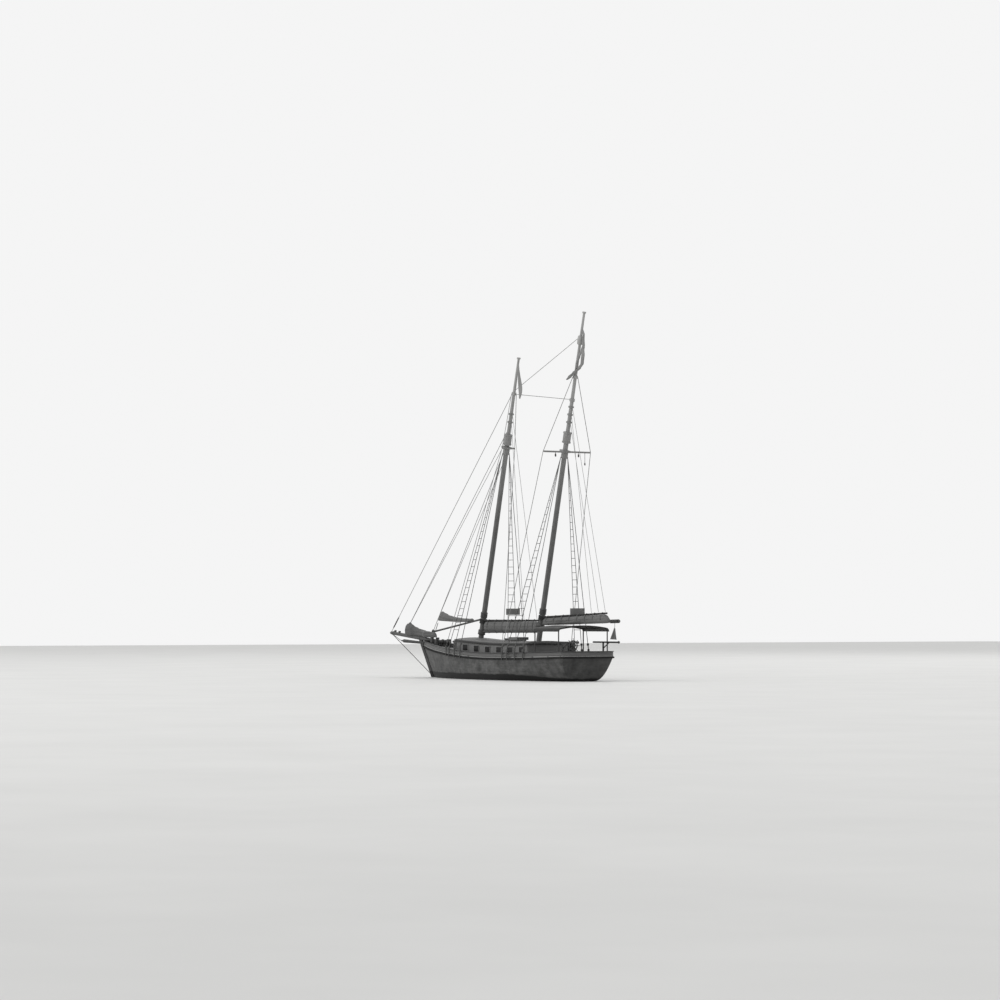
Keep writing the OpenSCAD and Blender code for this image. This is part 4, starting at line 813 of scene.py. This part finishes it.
LINE_R, HALYARD_R = 0.3, 0.36
line = [ENSIGN_AT + Vector((dx, 0, -BOOM_R - down)) for dx, down in ((0, 0), (0, 4), (0.4, 8))]
bars("ensign_line", "main_boom_set", "rope", "rope", (line, [LINE_R] * 3, 8))
line = [mast_at(FORE_X, 473) - Vector((1.9, 0, 0)), PENNANT_TOP + Vector((-5.6, 2.7, 0))]
bars("pennant_line", "ship", "rope", "rope", (line, [LINE_R] * 2, 8))

AWN_BACK, AWN_L = -229, 69
AWN_W, AWN_Z, BEND, TUBE_R, TILT = 84, 79.2, 4, 0.9, math.radians(10)
AWN_ARC = (AWN_W / 2 - BEND) / math.sin(TILT) + BEND
AWN_MID = AWN_Z - AWN_ARC
AWN_SHOULDER = AWN_MID + (AWN_ARC - BEND) * math.cos(TILT)


def awning(t, v):
    """Canvas over the hoops with a slight sag between them."""
    out = TUBE_R + 0.5
    b, big, c = BEND + out, AWN_ARC + out, AWN_W / 2 - BEND
    turn = math.pi / 2 - TILT
    s = (2 * v - 1) * (b * turn + big * TILT)
    if abs(s) < big * TILT:
        a = s / big
        y, z = big * math.sin(a), AWN_MID + big * math.cos(a)
        sag = 0.5 * (1 - (a / TILT) ** 4) * math.sin(math.pi * t) ** 2
    else:
        a = turn - (abs(s) - big * TILT) / b
        y, z, sag = math.copysign(c + b * math.cos(a), s), AWN_SHOULDER + b * math.sin(a), 0
    return Vector((AWN_BACK + AWN_L * t, y, z - sag))


canvas = flag("awning_cloth", "ship", "awning_canvas", awning, 30, 80,
              M["canvas"], 0.25)
canvas.data.materials.append(M["lining"])
for p in canvas.data.polygons:
    p.material_index = int(p.normal.dot(p.center - Vector((p.center.x, 0, AWN_MID * MM))) < 0)

# Small gear

AFTER_ARM_X, STROP_R = -184.2, 0.35
HOOP_R, HOOP_T, HOOP_STEP = MAST_R + 0.75, 0.62, 1.7


def hoop_at(x0, z, r, thick, verts, faces):
    """Adds a hoop square to the raked mast that stands at x0."""
    c, axis = mast_at(x0, z), Vector((-math.sin(RAKE), 0, math.cos(RAKE)))
    path = [AHEAD * math.cos(a) + Vector((0, 1, 0)) * math.sin(a) for a in turns(24)]

    def section(i, out):
        return [c + out * (r + thick * math.cos(a)) + axis * (thick * math.sin(a)) for a in turns(8)]

    closed_ring(path, section, verts, faces)


def block(p, size, verts, faces):
    """Adds a rounded pulley block with its strop above it."""
    rings = []
    for j in range(9):
        a = math.pi * j / 8
        w = size * max(0.08, math.sin(a) ** 0.7) * (0.86 if j == 4 else 1)
        rings.append([p + Vector((0.42 * w * math.cos(b), 0.6 * w * math.sin(b), -size * math.cos(a)))
                      for b in turns(16)])
    tube(rings, verts, faces)
    rope([p + Vector((0, 0, size * 0.8)), p + Vector((0, 0, size * 1.9))], STROP_R, verts, faces)


verts, faces = [], []
for x0, z0 in ((FORE_X, 92.5), (MAIN_X, 97.5)):
    for k in range(5):
        hoop_at(x0, z0 + HOOP_STEP * k, HOOP_R, HOOP_T, verts, faces)
for y in (20, -20):
    block(Vector((AFTER_ARM_X, y, 328)), 2.4, verts, faces)
block(Vector((AFTER_ARM_X, -31, 316)), 2, verts, faces)
rope([Vector((AFTER_ARM_X, -31, 332.4)), Vector((AFTER_ARM_X, -31, 318))], STROP_R, verts, faces)
make("mast_hoops_and_blocks", verts, faces, M["spar"], "ship")


def deck_at(x):
    """Height of the deck at x, found by stepping towards the place along the hull."""
    u = 0.5
    for _ in range(6):
        z = deck_z(u)
        u = (x - transom_x(z)) / (stem_x(z) - transom_x(z))
    return deck_z(u)


HOUSE_BACK, HOUSE_FRONT, HOUSE_W, HOUSE_H, ROOF_OVER, ROOF_T = -128, 70, 66, 18.5, 2.4, 1.8
FASCIA = ((-0.15, -1.2), (0.3, -1.3), (0.5, -1.1), (0.5, ROOF_T - 0.3), (0.3, ROOF_T), (-0.15, ROOF_T))


def roof_fascia():
    """Dark board along the edge of the deckhouse roof."""
    x1, x2, w = HOUSE_BACK - ROOF_OVER, HOUSE_FRONT + ROOF_OVER, HOUSE_W / 2 + ROOF_OVER
    along = [x1 + (x2 - x1) * k / 40 for k in range(1, 40)]
    edge = [(x1, w, -1, 1)] + [(x, w, 0, 1) for x in along] + [(x2, w, 1, 1)]
    edge += [(x, -y, ox, -oy) for x, y, ox, oy in reversed(edge)]

    def section(i, e):
        x, y, ox, oy = e
        return [Vector((x + ox * out, y + oy * out, deck_at(x) + HOUSE_H + up)) for out, up in FASCIA]

    verts, faces = [], []
    closed_ring(edge, section, verts, faces)
    make("roof_fascia", verts, faces, M["trim"], "ship")


roof_fascia()

jib_halyard = [mast_at(FORE_X, 355) + 4.2 * AHEAD, Vector((258, 3.4, 84))]
sail_head = at_z(STAY_FOOT, HOUND, STAYSAIL_HEAD_Z + 3) - 0.5 * AHEAD
staysail_halyard = [mast_at(FORE_X, 322) + 4.4 * AHEAD, sail_head]
bars("jib_and_staysail_halyards", "ship", "stay", "rope",
     (jib_halyard, [HALYARD_R] * 2, 8), (staysail_halyard, [HALYARD_R] * 2, 8))

WHISKER_HEEL, WHISKER_TIP, LUMP_UP = (212.9, 6.7, 53.1), (239, 31, 56.4), 3.9


def bow_spar_skins():
    """Thick whisker ends, the bowsprit's skin with a band near its tip, and two lumps on it."""
    rows = []
    for side in (1, -1):
        heel, tip = (Vector((x, side * y, z)) for x, y, z in (WHISKER_HEEL, WHISKER_TIP))
        boom = [heel.lerp(tip, t) for t in (0.06, 0.1, 0.5, 0.88, 0.92)]
        rows.append((boom, (1.8, 2, 2.3, 2.7, 2.3), 16))
    rows.append(([on_sprit(x) for x in (232, 233, 322, 323)], (2.9, 3.1, 2.5, 2.3), 24))
    rows.append(([on_sprit(x) for x in (315, 315.4, 318.6, 319)], (2.5, 3, 3, 2.5), 24))
    for x in (298, 311):
        lump = [on_sprit(x, LUMP_UP) + Vector((dx, 0, 0)) for dx in (-2.2, -1.6, 1.6, 2.2)]
        rows.append((lump, (0.7, 1.5, 1.5, 0.7), 16))
    bars("bow_spar_skins", "ship", "spar", "spar_wood", *rows)


bow_spar_skins()

collar = [mast_at(MAIN_X, z) for z in (487.5, 488.5, 494, 499, 500)]
bars("main_topmast_collar", "ship", "mast", "spar_wood", (collar, (3.6, 4.2, 4.6, 4.2, 3.2), 24))

foot, head = on_sprit(322.5, 2.4), mast_at(FORE_X, 426) + 3 * AHEAD
screw = [at_z(foot, head, foot.z + up) for up in (5, 7, 20, 23)]
bars("outer_stay_screw", "ship", "rope", "rope", (screw, (0.4, 0.95, 0.95, 0.4), 12))

corner = at_z(STAY_FOOT, HOUND, STAYSAIL_HEAD_Z - 11) - Vector((4.6, 0, 0))
tack = at_x(CLUB_ROOT, CLUB_TIP, CLUB_ROOT.x - 8) + Vector((0, 0, CLUB_R * 0.5))
bars("staysail_tack_line", "staysail_boom_set", "rope", "rope", ([corner, tack], (0.5, 0.5), 8))

cover = [at_x(*MAIN_BOOM, MAIN_BOOM_END + d) for d in (22, 20, 12, 3, 2)]
bars("boom_end_cover", "main_boom_set", "canvas", "dark_canvas", (cover, [BOOM_R + 0.6] * 5, 24))

# Floor

me = bpy.data.meshes.new("floor")
me.from_pydata([(-6, -6, 0), (6, -6, 0), (6, 6, 0), (-6, 6, 0)], [], [(0, 1, 2, 3)])
floor = bpy.data.objects.new("floor", me)
S.collection.objects.link(floor)
floor.data.materials.append(textured("floor", grey(0.6), grey(0.64), (6, 6, 6), 3, (0.7, 0.8), 0.05))
